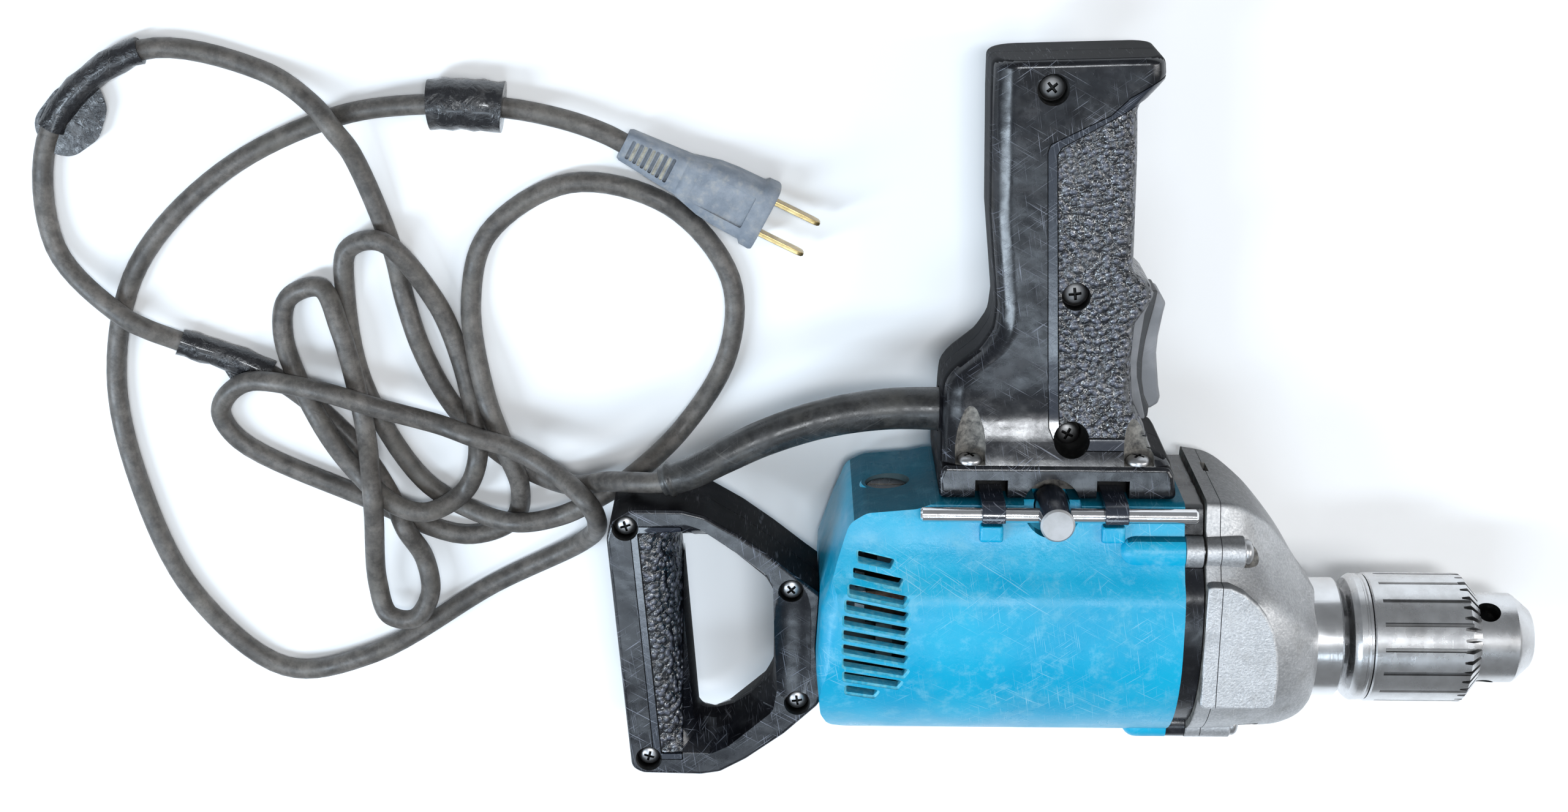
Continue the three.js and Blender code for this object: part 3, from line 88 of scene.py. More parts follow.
VENT_RIGHTS = [-104, -101, -99.5, -99, -98.8, -98.8, -98.8, -99, -101, -109]
VENT = {"top": 42.6, "pitch": 5.3, "height": 3.1, "slope": 0.19, "lean": 0.9, "corner": 0.6}
VENT_LEVELS = ((0, -12), (0, -0.8), (0.75, 0.15), (0.75, 4))
UPPER_BOSS = {"y": 45.5, "z": 33, "radius": 5.6, "back": -26, "face": 17.5}
LOWER_BOSS = {"y": -27.8, "z": 15, "radius": 5.2, "back": -19, "face": 20}
BUMP = {"y": -27.2, "radius": 9, "back": -48, "front": -30}
CATCH = {"low": 49, "high": 55.2, "inner": 29, "outer": 36, "edge": 1.2}
BRUSH = {"x": -105, "recess": 28, "slot": 0.8, "slot_depth": 1.4, "slot_half": 7}
BRUSH_HOLE = [(0, 7.9), (12, 7.9), (30, 7.9)]
BRUSH_COLLAR = [(20, 9.8), (41.2, 9.8), (42, 9.2)]
BRUSH_CAP = [(-13.4, 6.6), (-13.2, 7.4), (-0.7, 7.4), (-0.2, 7.1), (0, 6.6)]
SCREW_HOLE = {"back": -20, "front": 2, "radius": 2.3}
KEY_SEAT = [(14, 6.3), (27, 6.3), (27.2, 10), (60, 10)]
BELLY_SEAM = {"back": -128, "front": 1, "depth": 0.7, "half": 0.3}

# Gear plate and gear case
PLATE = {
    "gap": 0.1, "shrink": 2.5, "spigot": 13.5, "spigot_back": -9, "lower": 5, "upper": 5.9, "upper_past": 2,
    "bearing": 11.4, "shaft": 4.6, "edge": 0.5,
}
CASE = {
    "back": 3.4, "front": 48.6, "split": 9.0, "wall": 3.6, "hollow_end": 42, "rings": 30, "boss_round": 0.5,
}
STATION_KEYS = ("x", "top", "deck", "crease", "out", "half", "down", "middle")
CASE_STATIONS = [dict(zip(STATION_KEYS, row)) for row in (
    (3.4, 63, 29, 37.2, 40, 45.2, 49, 16),
    (14.1, 61.2, 26.5, 36.3, 39.8, 44.9, 48.6, 16),
    (24, 54.5, 21, 32.8, 38.7, 43.5, 47.2, 15),
    (30, 48.5, 15.5, 29, 36.9, 41.5, 44.6, 13),
    (37, 39.5, 11, 22.7, 33.6, 37.8, 40, 9),
    (43.5, 29, 9, 14.7, 28.5, 32, 31.4, 3),
    (46.8, 24.5, 8, 11, 24.5, 27.5, 25.2, 0),
    (48.6, 22, 7.5, 10, 20, 22.5, 22.5, 0),
)]
SIDE_PAD = [
    (3.4, -8.8), (28, -8.8), (29.8, -6.6), (30.3, 3.5), (29.6, 12), (27.8, 20), (24.8, 26), (21.5, 30.4),
    (16.5, 34.6), (11.5, 36.9), (3.4, 37.4),
]
SIDE_PAD_ROOT = 38
SIDE_PAD_CORNER = 3
COLLAR = [(43, 21.3), (57.7, 21.5), (58.5, 20.7)]
COLLAR_OPENING = {"back": 56.7, "front": 60, "radius": 10}
SCREW_POCKET = [(0, 5.0), (5, 5.3), (9, 4.2), (10.6, 2.0)]
SCREW_REACH = [(0.01, 5.4), (5, 5.4), (9, 4.4)]
POCKET_OUT = 1.5
REACH_OUT = 6
CASE_SLOT = {"back": -0.8, "front": 1.2, "y": (57, 66), "z": (-12.5, -3)}

# Screws: a head's outline as shares of its height and radius, then each kind
HEAD_DOME = ((0, 0.97), (0.3, 1), (0.55, 0.93), (0.8, 0.74), (0.95, 0.42), (1, 0.08))
HEAD_STEM = 1.9
CROSS = {"long": 0.55, "wide": 0.13}
SLOT = {"long": 1.1, "wide": 0.14}
SLOT_LEVELS = ((0.75, 0.45), (1.1, 1.15))
SLOT_ABOVE = 0.3
GRIP_SCREW = {"radius": 4.2, "height": 2.0, "arms": 2, "turn": 0.7, "shank": 22, "depth": 1.0}
HANDLE_SCREW = {"radius": 3.6, "height": 2.2, "arms": 2, "turn": 0.3, "shank": 26, "depth": 1.0}
BASE_SCREW = {"radius": 4.3, "height": 2.9, "arms": 2, "turn": 0.5, "shank": 10, "depth": 1.4}
CASE_SCREW = {"radius": 4.5, "height": 3.2, "arms": 1, "turn": 0.4, "shank": 34, "depth": 1.0}
GRIP_SCREWS = [(-53.7, 203.5, 13.4), (-42.9, 132.5, 13.4), (-42.7, 80.5, 8.6)]
HANDLE_SCREWS = [(-197.4, 47.4), (-189.8, -41.6), (-138.8, 23.8), (-136.4, -19)]
HANDLE_SCREW_LEVEL = 16.2
BASE_SCREW_X = (-77.6, -19.4)
BASE_SCREW_Z = 23.2
BASE_SCREW_Y = 74.3
CASE_SCREW_GAP = 0.1

# Pistol grip
GRIP_LEFT = [
    (-88, 60), (-87.4, 95), (-87, 101), (-84, 105), (-75, 112.5), (-70.5, 119.5), (-69.7, 128),
    (-73, 160), (-74, 200), (-74, 214),
]
GRIP_RIGHT = [
    (-7.6, 60), (-7.6, 73.5), (-9.5, 76.5), (-15.5, 78.5), (-16.6, 86), (-21, 95), (-22, 108),
    (-21.4, 122), (-15.2, 131.5), (-17, 137), (-22.9, 140.5), (-23.6, 180), (-24.4, 197.4),
    (-15.8, 206.3), (-16.6, 214),
]
GRIP_FLARE = [
    (27.6, 60), (27.4, 72), (26.3, 75.5), (23.4, 82), (21.2, 89), (20, 98), (19.5, 110), (19.5, 215),
]
GRIP_BENDS = {"left": 9, "right": 3.5, "flare": 14}
GRIP = {"half": 19.5, "foot": 64, "top": 213.6, "edge": 2.6, "step": 2.0, "left_round": 9, "right_round": 6}
GRIP_TILT = {"slope": 0.034, "x": -45, "from": 195, "over": 15}
FLANGE = [(-88, 62.3), (-88.4, 70), (-87, 74.2), (-9, 74.2), (-7.2, 71), (-6, 62.3)]
FLANGE_SHAPE = {"half": 28, "corner": 2.2, "edge": 1.8}
STRIP_OUTER = [
    (-6, 214), (-28.1, 201.2), (-34.2, 195.2), (-53.9, 185.3), (-54.9, 182.6), (-50.8, 86.3), (-48.4, 80.5),
    (-44, 78.8), (-24, 78.8), (9, 78.8), (9, 214),
]
STRIP_INNER = [
    (-6, 209.5), (-30.5, 195.2), (-49.8, 184), (-51.3, 181.6), (-46.9, 86.5), (-44.5, 83), (-24, 83), (5, 83),
    (5, 209.5),
]
STRIP_CORNER = 1.2
PANEL = {
    "bed": 1.3, "ridge": -0.15, "panel": 0.45, "bed_grown": 0.4, "ridge_in": 0.35, "gap": 0.3,
    "zone_in": 0.15,
}
DEEP_BORE = [(7, 4.4), (14, 4.8), (19, 5.3), (24, 6.4), (32, 7.5)]
DEEP_LEAN = 0.1
BORE_RIM = {"edge": 0.5, "past": 12, "flare": 0.2}
GRIP_BORE = {"radius": 4.9, "floor": 12.6}
HANDLE_BORE = {"radius": 4.2, "floor": 15.0}
CHANNEL = ((74.2, 5.2), (80, 5.3), (86, 4.9), (92, 3.8), (97, 2.2))
CHANNEL_SIDE = {"in": 0.6, "out": 40}
TRIGGER_POCKET = ((-34, 10), (85.8, 132.2), (-9.4, 9.4))
TRIGGER_MOUTH = ((-22.4, 10), (85.0, 133.4), (-9.4, 9.4))
NOTCH = {"past": 1.6, "y": (60, 69.2), "inner": 19.7, "outer": 40}
ARCH = {"back": 17, "front": 60, "radius": 9.8}
CORD_WAY = {"back": -100, "front": -60, "radius": 8.2, "y": 86}
GRIP_WALL = 3.0
UPPER_ROOM = (104, 208)
LOWER_ROOM = {"y": (78, 105), "z": (-12, 12)}
POST = {"half": 17, "radius": 6.6}

# D-handle: its outline, and its opening at the middle and at the face
HANDLE = {"half": 20.5, "corner": 6, "edge": 1.3, "gap": 0.4}
HANDLE_OUTER = [
    (-195.5, 54), (-177.5, 54), (-169.5, 52), (-156.7, 44.5), (-145.2, 36.2), (-134.3, 27.5), (-127, 22),
    (-127, -12), (-128.4, -19.6), (-141, -31.5), (-154.8, -41.7), (-164.1, -46.9), (-171, -48),
    (-192, -47.6), (-196, -45.5), (-204, 43), (-202.6, 49.5),
]
OPENING_MIDDLE = [
    (-178, 41.6), (-172.7, 41.2), (-166.4, 37.7), (-157.9, 30.5), (-147.8, 21.5), (-145.3, 17),
    (-144.9, 9), (-145, -16.4), (-153.5, -24.8), (-159.5, -28.8), (-165.6, -30.4), (-172, -30.8),
]
OPENING_FACE = [
    (-192.5, 48), (-176.3, 49.2), (-170.9, 47.2), (-159.2, 39.4), (-147.6, 30.4), (-145.3, 26.2),
    (-144.9, 12), (-143.6, -14), (-145, -22.4), (-161, -36.4), (-167.1, -39.4), (-184.8, -39.8),
]
OPENING = {
    "middle_corner": 3.5, "face_corner": 5, "steps": 12, "past": 20, "curl_x": -171, "lean_x": -166,
    "lean": 1.2,
}
HANDLE_ZONE = [(-192.9, 45.4), (-177.4, 45.4), (-177.4, -39.3), (-185.2, -39.3)]
HANDLE_RIDGE = [(-196, 48.2), (-177.4, 48.2), (-177.4, -42), (-188, -42)]
HANDLE_CORNER = 0.8
SCOOP = {"x": -138.2, "y": 4, "z": 35, "length": 22, "bend": 14, "radius": 14.4, "belly": 1.6}
SLEEVE_WAY = {"start": 8.2, "taper": 2.4}

# Chuck key, its straps and the trigger
KEY = {"x": -49, "y": 60, "radius": 5.9, "top": 48, "shaft": 4, "tip": 14, "step": 22, "face": 5.2}
KEY_BAR = {"z": 37.5, "radius": 2.55, "back": -95, "front": 0}
KEY_ROUND = 0.7
STRAP_BACKS = (-74.2, -32.2)
STRAP_WIDTH = 8.1
STRAP_THICK = 2.2
STRAP_FIT = 0.25
STRAP_LEG = 20
STRAP_BEND = 1.85
STRAP_EDGES = ((0, 0.35), (0.12, 0.1), (0.4, 0))
TRIGGER_PAD = [
    (-24, 88.8), (-13.6, 88.8), (-10.9, 90.6), (-10.3, 93), (-11.1, 97), (-12.5, 109), (-12.2, 115),
    (-10.9, 123.5), (-10.2, 127), (-12.6, 131.2), (-24, 131.2),
]
TRIGGER_MIDDLE = [
    (-26, 86), (-14.6, 86), (-14.3, 89.8), (-16.2, 94), (-17.3, 99.8), (-17.5, 107), (-16.8, 114),
    (-15.5, 121), (-14.2, 127), (-13.4, 132), (-26, 132),
]
TRIGGER_PLATE = [
    (-26, 85.7), (-15.5, 85.7), (-17.7, 94.6), (-19.2, 101), (-19.5, 106), (-18.8, 114.5),
    (-17.7, 124), (-15.4, 130), (-14.9, 132), (-26, 132),
]
TRIGGER_HALVES = {"pad": 6.6, "middle": 7.9, "plate": 9}
TRIGGER_STEM = ((-40, -24), (94.5, 121), (-8, 8))

# Chuck
CHUCK_BODY = [
    (60.8, 14), (60.8, 17.6), (61.3, 18.4), (62.2, 21.4), (63.2, 22.4), (64.3, 23), (66.4, 23), (66.8, 22.5),
    (67.3, 22.5), (67.7, 22.9), (68.6, 22.9), (68.8, 22.6), (68.8, 16.3), (122.4, 16.3), (123.4, 15.7),
    (128.9, 11), (129.5, 10),
]
BIT_HOLE = [(96, 7), (129, 7), (129.6, 7.6)]
KEY_HOLE = [(10.5, 3.9), (15.6, 4.1), (17.5, 4.9)]
KEY_HOLE_X = 112
FIRST_KEY_HOLE = QUARTER - math.radians(58)
JAWS = 3
JAW = {
    "radius": 2.9, "length": 28, "tip_x": 125, "tip_radius": 6.2, "lean": math.radians(17), "end": 0.5,
    "bevel": 0.4,
}
JAW_WAY = {"ahead": 30, "length": 74, "fit": 0.25}
SLEEVE = {
    "back": 69.1, "front": 108.5, "radius": 23.3, "bore": 16.6, "neck": 17, "bevel": 103.7, "tip": 17.5,
    "round": 0.5, "corner": 0.3,
}
JAW_ROOM = [(73, 17), (76, 21), (100, 21), (103, 18)]
GROOVE = {"count": 16, "back": 72.5, "front": 104.2}
GROOVE_RING = [(-0.45, -0.7), (0.45, -0.7), (0.95, 0.5), (-0.95, 0.5)]
TOOTH = {"count": 36, "behind": 0.6, "above": 0.4, "back": -1.2, "past": 2.5, "wide": 0.95, "taper": 0.03}
TOOTH_RING = [(-0.45, -1.9), (0.45, -1.9), (1, 0.9), (-1, 0.9)]

# Cord, guard, plug and tape. Cord points are X, Y and height above the table.
CORD_DIAMETER = 7.4
CORD_POINTS = [
    (-163, 70.2, 53.4), (-175, 64.2, 54.6), (-185, 60.4, 53.4), (-195, 58.4, 48.2), (-206, 54, 35.4),
    (-217, 47, 20.4), (-229, 44, 6.6), (-247, 53, 4.4), (-264, 71, 4.4), (-275, 92, 4.4), (-281, 112, 4.4),
    (-285, 132, 4.4), (-297, 168, 10), (-302, 177, 14.3), (-310, 186, 10.8), (-329, 197, 4.4),
    (-371, 204, 5.6), (-405, 176, 5.6), (-407, 132, 6), (-383, 108, 12.4), (-375, 103, 11.4),
    (-364, 97, 7), (-332, 84, 5.4), (-302, 57, 4.4), (-288, 37, 9.8), (-283, 27, 14.2),
    (-277, 13, 8.9), (-275, 0, 11.4), (-281, -10, 12.4), (-291, -9, 11.4), (-295, 3, 9.4),
    (-293, 35, 22.4), (-293, 45, 24.2), (-296, 64, 13.9), (-300, 86, 11.9), (-304, 104, 12.9),
    (-311, 118, 7.9), (-324, 113, 4.6), (-326, 98, 6), (-313, 69, 13.6), (-301, 50, 13.4),
    (-286, 38, 18), (-274, 35, 17.9), (-261, 41, 11.9), (-255, 55, 15.4), (-256, 68, 10.4),
    (-262, 92, 4.4), (-270, 114, 7.4), (-287, 137, 13.9), (-301, 132, 6.4), (-303, 117, 4.4),
    (-298, 81, 4.4), (-277, 43, 4.4), (-258, 32, 7.9), (-241, 30, 15), (-225, 33, 15.4),
    (-211, 42, 21.2), (-198, 50, 18.4), (-179, 66, 7.4), (-163, 93, 4.4), (-162, 122, 4.4),
    (-184, 149, 4.4), (-220, 157, 4.4), (-250, 138, 4.4), (-257, 112, 4.4), (-252, 80, 11.9),
    (-245, 59, 13.9), (-240, 43, 11.4), (-244, 27, 4.4), (-262, 21, 4.4), (-300, 36, 4.4),
    (-345, 58, 4.4), (-351, 70, 5.8), (-340, 83, 12.4), (-314, 83, 19.9), (-290, 76, 19.9),
    (-268, 69, 17.4), (-255, 66, 22.4), (-243, 62, 21.4), (-226, 54, 25.9), (-213, 46, 35.9),
    (-210, 36, 29.9), (-217, 22, 12.9), (-252, 1, 4.4), (-298, -26, 9.4), (-333, -34, 4.4),
    (-366, -4, 4.4), (-384, 42, 4.4), (-389, 84, 4.4), (-378, 125, 4.4), (-345, 160, 4.4),
    (-302, 181, 5.4), (-268.5, 186.4, 9.8), (-242.5, 185.4, 9.9), (-222, 181.6, 10), (-207, 176.6, 10.2),
    (-197, 171.45, 10.2),
]
GUARD_POINTS = [
    (-82, 86, 45), (-106, 85.6, 45), (-128, 82.8, 48), (-148, 77, 51.4), (-163, 70.2, 53.4),
    (-175, 64.2, 54.6), (-184.5, 60.6, 53.5),
]
GUARD = {"start": 7.75, "taper": 2.45, "lip": 1.1, "lip_at": 0.955, "lip_width": 0.018}
PLUG = {
    "back": (-200, 173), "front": (-149.2, 146.8), "height": 10.2, "square": 0.45, "cut_out": 12,
    "corner": 0.6,
}
PLUG_SHAPE = [
    (0, 5.2, 4.8), (0.02, 5.8, 5.2), (0.2, 6.6, 5.8), (0.41, 7.6, 6.5), (0.425, 7.6, 7.4),
    (0.45, 8.0, 7.8), (0.6, 10.2, 8.4), (0.72, 10.9, 8.8), (0.9, 11.2, 9.2), (0.92, 12.4, 9.8),
    (0.985, 12.6, 9.9), (1.0, 12.2, 9.5),
]
PLUG_SLOT = {"count": 6, "first": 3.1, "pitch": 3.1, "half": 3.6, "growth": 0.22, "wide": 0.65, "depth": 3.9}
PLUG_DUST = {"from": 0.95, "to": 2.15, "depth": 5.0, "growth": 0.16}
PLUG_PANEL = {"from": 0.5, "to": 0.88, "half": 6.2, "depth": 7.9, "edge_from": 0.488, "edge_depth": 8.4}
PLUG_SOCKET = {"from": -2, "to": 6, "radius": 3.9}
BLADE = {
    "length": 18.4, "width": 6.4, "thick": 1.6, "spacing": 12.7, "splay": 0.35, "thinner": 0.3, "corner": 0.3,
}
BLADE_STATIONS = ((-0.45, 0), (0.0, 0), (0.5, 0), (0.86, 0), (0.96, 0.6), (1.0, 1.3))
TAPE_LONG = {
    "first": 16, "radius": 4.9,
    "flag": [(-388, 196), (-384, 183), (-388, 172), (-398, 165), (-407, 167), (-412, 178), (-402, 190)],
}
TAPE_SHORT = {"first": 21, "radius": 4.9, "flag": [(-352, 92), (-340, 87), (-335, 78), (-345, 79)]}
TAPE_ROLL = {"first": 92, "radius": 9.0}
FLAG = {"corner": 9.0, "half": 0.3, "curl": 0.05, "flat": 8}


def make_camera():
    data = bpy.data.cameras.new("camera")
    data.sensor_width = 36
    data.lens = CAMERA_LENS
    camera = bpy.data.objects.new("camera", data)
    bpy.context.scene.collection.objects.link(camera)
    turn = Matrix.Rotation(-CAMERA_TILT, 4, "X") @ Matrix.Rotation(CAMERA_ROLL, 4, "Z")
    camera.matrix_world = Matrix.Translation(CAMERA_AT) @ turn
    bpy.context.scene.camera = camera


make_camera()


# Nodes for materials
class Recipe:
    """One material, its nodes worked out in millimetres on the piece's own coordinates."""

    def __init__(self, name, colour, roughness, metallic=0.0, specular=0.5, coat=0.0, coat_roughness=0.2):
        self.material = bpy.data.materials.new(name)
        self.material.use_nodes = True
        self.tree = self.material.node_tree
        self.shader = self.tree.nodes["Principled BSDF"]
        surface = {
            "Roughness": roughness, "Metallic": metallic, "Specular IOR Level": specular, "Coat Weight": coat,
            "Coat Roughness": coat_roughness,
        }
        for socket, value in surface.items():
            self.shader.inputs[socket].default_value = value
        self.colour = (*colour, 1)
        self.rough = roughness
        self.normal = None
        self.place = self.node("ShaderNodeTexCoord").outputs["Object"]

    def node(self, kind, **inputs):
        made = self.tree.nodes.new(kind)
        for name, value in inputs.items():
            self.put(made.inputs[name.replace("_", " ")], value)
        return made

    def put(self, socket, value):
        if isinstance(value, bpy.types.NodeSocket):
            self.tree.links.new(value, socket)
        else:
            socket.default_value = value

    def mapped(self, scale, turn=0.0):
        turned = self.node("ShaderNodeMapping", Vector=self.place, Rotation=(0, 0, turn))
        sizes = [part / MM for part in scale]
        made = self.node("ShaderNodeMapping", Vector=turned.outputs["Vector"], Scale=sizes)
        return made.outputs["Vector"]

    def grain(self, size, detail=3.0, rough=0.55, distortion=0.0):
        made = self.node(
            "ShaderNodeTexNoise", Vector=self.place, Scale=1 / (size * MM), Detail=detail, Roughness=rough,
            Distortion=distortion,
        )
        return made.outputs["Fac"]

    def cells(self, size, smooth):
        made = self.node("ShaderNodeTexVoronoi", Vector=self.place, Scale=1 / (size * MM))
        made.feature = "SMOOTH_F1"
        made.inputs["Smoothness"].default_value = smooth
        return made.outputs["Distance"]

    def span(self, value, low, high, last=1.0):
        made = self.node("ShaderNodeMapRange", Value=value, From_Min=low, From_Max=high, To_Max=last)
        return made.outputs["Result"]

    def sum(self, operation, first, second):
        made = self.node("ShaderNodeMath")
        made.operation = operation
        self.put(made.inputs[0], first)
        self.put(made.inputs[1], second)
        return made.outputs["Value"]

    def mix(self, kind, mask, first, second):
        made = self.node("ShaderNodeMix")
        made.data_type = kind
        for name, value in (("Factor", mask), ("A", first), ("B", second)):
            self.put(made.inputs[name], value)
        return made.outputs["Result"]

    def scratches(self, angle, length=22.0, width=0.35, depth=9, low=0.66, high=0.72):
        made = self.node(
            "ShaderNodeTexNoise", Vector=self.mapped((1 / length, 1 / width, 1 / depth), angle), Scale=1.0,
            Detail=1.5, Roughness=0.5, Distortion=0.15,
        )
        return self.span(made.outputs["Fac"], low, high)

    def facing(self, axis):
        normal = self.node("ShaderNodeTexCoord").outputs["Normal"]
        return self.node("ShaderNodeSeparateXYZ", Vector=normal).outputs[axis]

    def paint(self, mask, colour):
        self.colour = self.mix("RGBA", mask, self.colour, (*colour, 1))

    def roughen(self, mask, amount):
        self.rough = self.mix("FLOAT", mask, self.rough, amount)

    def dent(self, height, depth, strength=1.0):
        made = self.node("ShaderNodeBump", Height=height, Strength=strength, Distance=depth * MM)
        if self.normal is not None:
            self.put(made.inputs["Normal"], self.normal)
        self.normal = made.outputs["Normal"]

    def mottle(self, size, detail, colour, low=0.4, high=0.7, amount=1.0, rough=0.55):
        """Patches of another colour, where a noise of this size is high."""
        self.paint(self.span(self.grain(size, detail, rough), low, high, amount), colour)

    def wear(self, size, detail, roughness, low=0.4, high=0.7, rough=0.55):
        """Patches of another roughness."""
        self.roughen(self.span(self.grain(size, detail, rough), low, high), roughness)

    def bumps(self, size, detail, depth, strength, rough=0.55):
        self.dent(self.grain(size, detail, rough), depth, strength)

    def dust(self, colour, amount, size=14.0):
        patches = self.span(self.grain(size, 8, 0.7), 0.5, 0.78, amount)
        specks = self.span(self.grain(0.55, 2, 0.5), 0.7, 0.76, amount)
        mask = self.sum("MAXIMUM", patches, specks)
        self.paint(mask, colour)
        self.roughen(mask, 0.85)

    def scratch(self, colour, amount):
        lines = self.scratches(0.5)
        for angle in (1.4, 2.5):
            lines = self.sum("MAXIMUM", lines, self.scratches(angle, 14.0, 0.3))
        where = self.span(self.grain(24, 2), 0.4, 0.62, amount)
        mask = self.sum("MULTIPLY", lines, where)
        self.paint(mask, colour)
        self.roughen(mask, 0.6)
        self.dent(mask, -0.04, 0.5)

    def done(self):
        self.put(self.shader.inputs["Base Color"], self.colour)
        self.put(self.shader.inputs["Roughness"], self.rough)
        if self.normal is not None:
            self.put(self.shader.inputs["Normal"], self.normal)
        return self.material


def tint(shade, red=1.0, green=1.0, blue=1.0):
    return (shade * red, shade * green, shade * blue)


# The drill's materials
def housing_plastic(name="housing_plastic", shade=1.0, specular=0.4):
    recipe = Recipe(name, (0.001, 0.29 * shade, 0.48 * shade), 0.26, specular=specular)
    recipe.mottle(35, 4, (0.001, 0.35 * shade, 0.54 * shade), 0.35)
    recipe.mottle(7, 8, (0.2, 0.52, 0.68), 0.52, 0.78, 0.5 * shade, 0.75)
    recipe.wear(18, 5, 0.44, 0.35)
    recipe.bumps(26, 3, 0.7, 0.6)
    recipe.bumps(1.4, 5, 0.16, 0.6, 0.7)
    recipe.scratch((0.3, 0.55, 0.66), 0.6 * shade)
    recipe.dust((0.2, 0.38, 0.42), 0.3 * shade)
    return recipe.done()


def vent_rim():
    recipe = Recipe("vent_rim", (0.03, 0.36, 0.52), 0.4, specular=0.4)
    recipe.mottle(2, 4, (0.16, 0.5, 0.6), 0.4, 0.65)
    return recipe.done()


def vent_dark():
    recipe = Recipe("vent_dark", (0.05, 0.1, 0.12), 0.7)
    recipe.paint(recipe.grain(3, 4), (0.1, 0.16, 0.18))
    return recipe.done()


def black_plastic(name="black_plastic", base=0.0035, roughness=0.2, scratch=0.6, dust=0.2):
    recipe = Recipe(name, tint(base, 1, 1.1, 1.6), roughness)
    recipe.mottle(20, 5, tint(base, 2.2, 2.5, 3.4))
    recipe.wear(9, 6, roughness + 0.1, rough=0.65)
    recipe.bumps(30, 3, 1.1, 0.8)
    recipe.bumps(8, 4, 0.16, 0.5, 0.6)
    recipe.scratch((0.3, 0.32, 0.38), scratch)
    recipe.dust((0.12, 0.12, 0.13), dust)
    return recipe.done()


# Painted shade: a darker, barely reflecting copy of the black plastic, for faces that look sideways, out of
# the light
def side_shade_plastic():
    recipe = Recipe("side_shade_plastic", (0.002, 0.002, 0.003), 0.5, specular=0.03)
    recipe.mottle(18, 5, (0.006, 0.006, 0.008))
    recipe.bumps(7, 4, 0.1, 0.4)
    recipe.scratch((0.2, 0.2, 0.22), 0.35)
    recipe.dust((0.14, 0.14, 0.14), 0.12)
    return recipe.done()


def gloss_plastic():
    recipe = Recipe("gloss_plastic", (0.014, 0.018, 0.028), 0.18, specular=0.9)
    recipe.mottle(14, 5, (0.02, 0.024, 0.034))
    recipe.bumps(8, 4, 0.12, 0.5, 0.6)
    recipe.scratch((0.3, 0.32, 0.38), 0.4)
    return recipe.done()


def shade_plastic():
    recipe = Recipe("shade_plastic", (0.002, 0.002, 0.002), 0.5, specular=0.2)
    recipe.mottle(2, 4, (0.014, 0.013, 0.012), 0.5)
    return recipe.done()


def pebble_plastic():
    recipe = Recipe("pebble_plastic", (0.005, 0.006, 0.009), 0.17, specular=1.0)
    ripple = recipe.sum("MULTIPLY", recipe.grain(1.6, 2, 0.5, 0.8), 0.5)
    pebbles = recipe.sum("ADD", recipe.cells(2.1, 0.5), ripple)
    # Painted highlight: the middles of the pebbles are lighter, for the glints on their tops
    recipe.paint(recipe.span(recipe.cells(2.1, 0.5), 0.5, 0.22, 0.6), (0.15, 0.16, 0.205))
    recipe.wear(10, 4, 0.26)
    recipe.dent(pebbles, -1.1)
    recipe.dust((0.14, 0.14, 0.15), 0.25)
    return recipe.done()


def dusty_plastic(name="dusty_plastic", dark=(0.05, 0.048, 0.046), light=(0.24, 0.225, 0.2)):
    recipe = Recipe(name, dark, 0.85)
    recipe.mottle(2.5, 6, light, 0.35, 0.65, rough=0.7)
    recipe.bumps(0.9, 4, 0.2, 0.6)
    return recipe.done()


def grey_plastic(name="grey_plastic", base=0.16):
    recipe = Recipe(name, tint(base, 1, 1.03, 1.1), 0.5)
    recipe.mottle(12, 5, tint(base, 1.5, 1.52, 1.6))
    recipe.bumps(0.9, 3, 0.06, 0.5)
    recipe.scratch((0.3, 0.31, 0.33), 0.4)
    return recipe.done()


def cast_metal(name="cast_metal", base=0.46, pit=0.16):
    recipe = Recipe(name, tint(base, 1, 1.01, 1.03), 0.46, metallic=0.85)
    recipe.mottle(16, 5, tint(base, 0.82, 0.83, 0.85))
    recipe.mottle(0.8, 3, tint(base, 1.5, 1.5, 1.5), 0.42, 0.66, 0.45)
    recipe.wear(1.2, 3, 0.62, 0.4, 0.65)
    recipe.bumps(0.75, 4, pit, 0.7, 0.6)
    recipe.scratch((0.8, 0.8, 0.8), 0.5)
    recipe.dust((0.16, 0.14, 0.11), 0.3, 10)
    # Painted shade: faces that look up along Y, out of the light, are darkened
    recipe.paint(recipe.span(recipe.facing("Y"), 0.4, 0.8, 0.8), (0.07, 0.07, 0.07))
    return recipe.done()


def turned_steel(name, base, roughness, fine_lines=True, stain=0.35):
    recipe = Recipe(name, tint(base, 1, 1, 1.01), roughness, metallic=1.0)
    recipe.mottle(9, 6, tint(base, 0.4, 0.37, 0.34), 0.4, 0.75, stain, 0.6)
    recipe.wear(7, 3, roughness + 0.1, 0.3, 0.8)
    if fine_lines:
        place = recipe.mapped((1 / 0.12, 1 / 40, 1 / 40))
        lines = recipe.node("ShaderNodeTexNoise", Vector=place, Scale=1.0, Detail=2.0)
        recipe.dent(lines.outputs["Fac"], 0.03, 0.35)
    recipe.bumps(1.4, 4, 0.03, 0.3)
    return recipe.done()


def black_rubber(name, base, roughness, dust, warm=1.0):
    recipe = Recipe(name, tint(base, warm, 1, 1 / warm), roughness)
    recipe.mottle(12, 6, tint(base * 2.4, warm, 1, 1 / warm), 0.4, 0.72, rough=0.65)
    recipe.mottle(4, 6, tint(base, 0.3, 0.28, 0.26), 0.56, 0.4, 0.5, 0.75)
    recipe.wear(5, 5, roughness + 0.22)
    recipe.bumps(0.6, 3, 0.06, 0.5)
    recipe.scratch((0.12, 0.115, 0.11), 0.5)
    recipe.dust((0.19, 0.175, 0.15), dust, 18)
    return recipe.done()


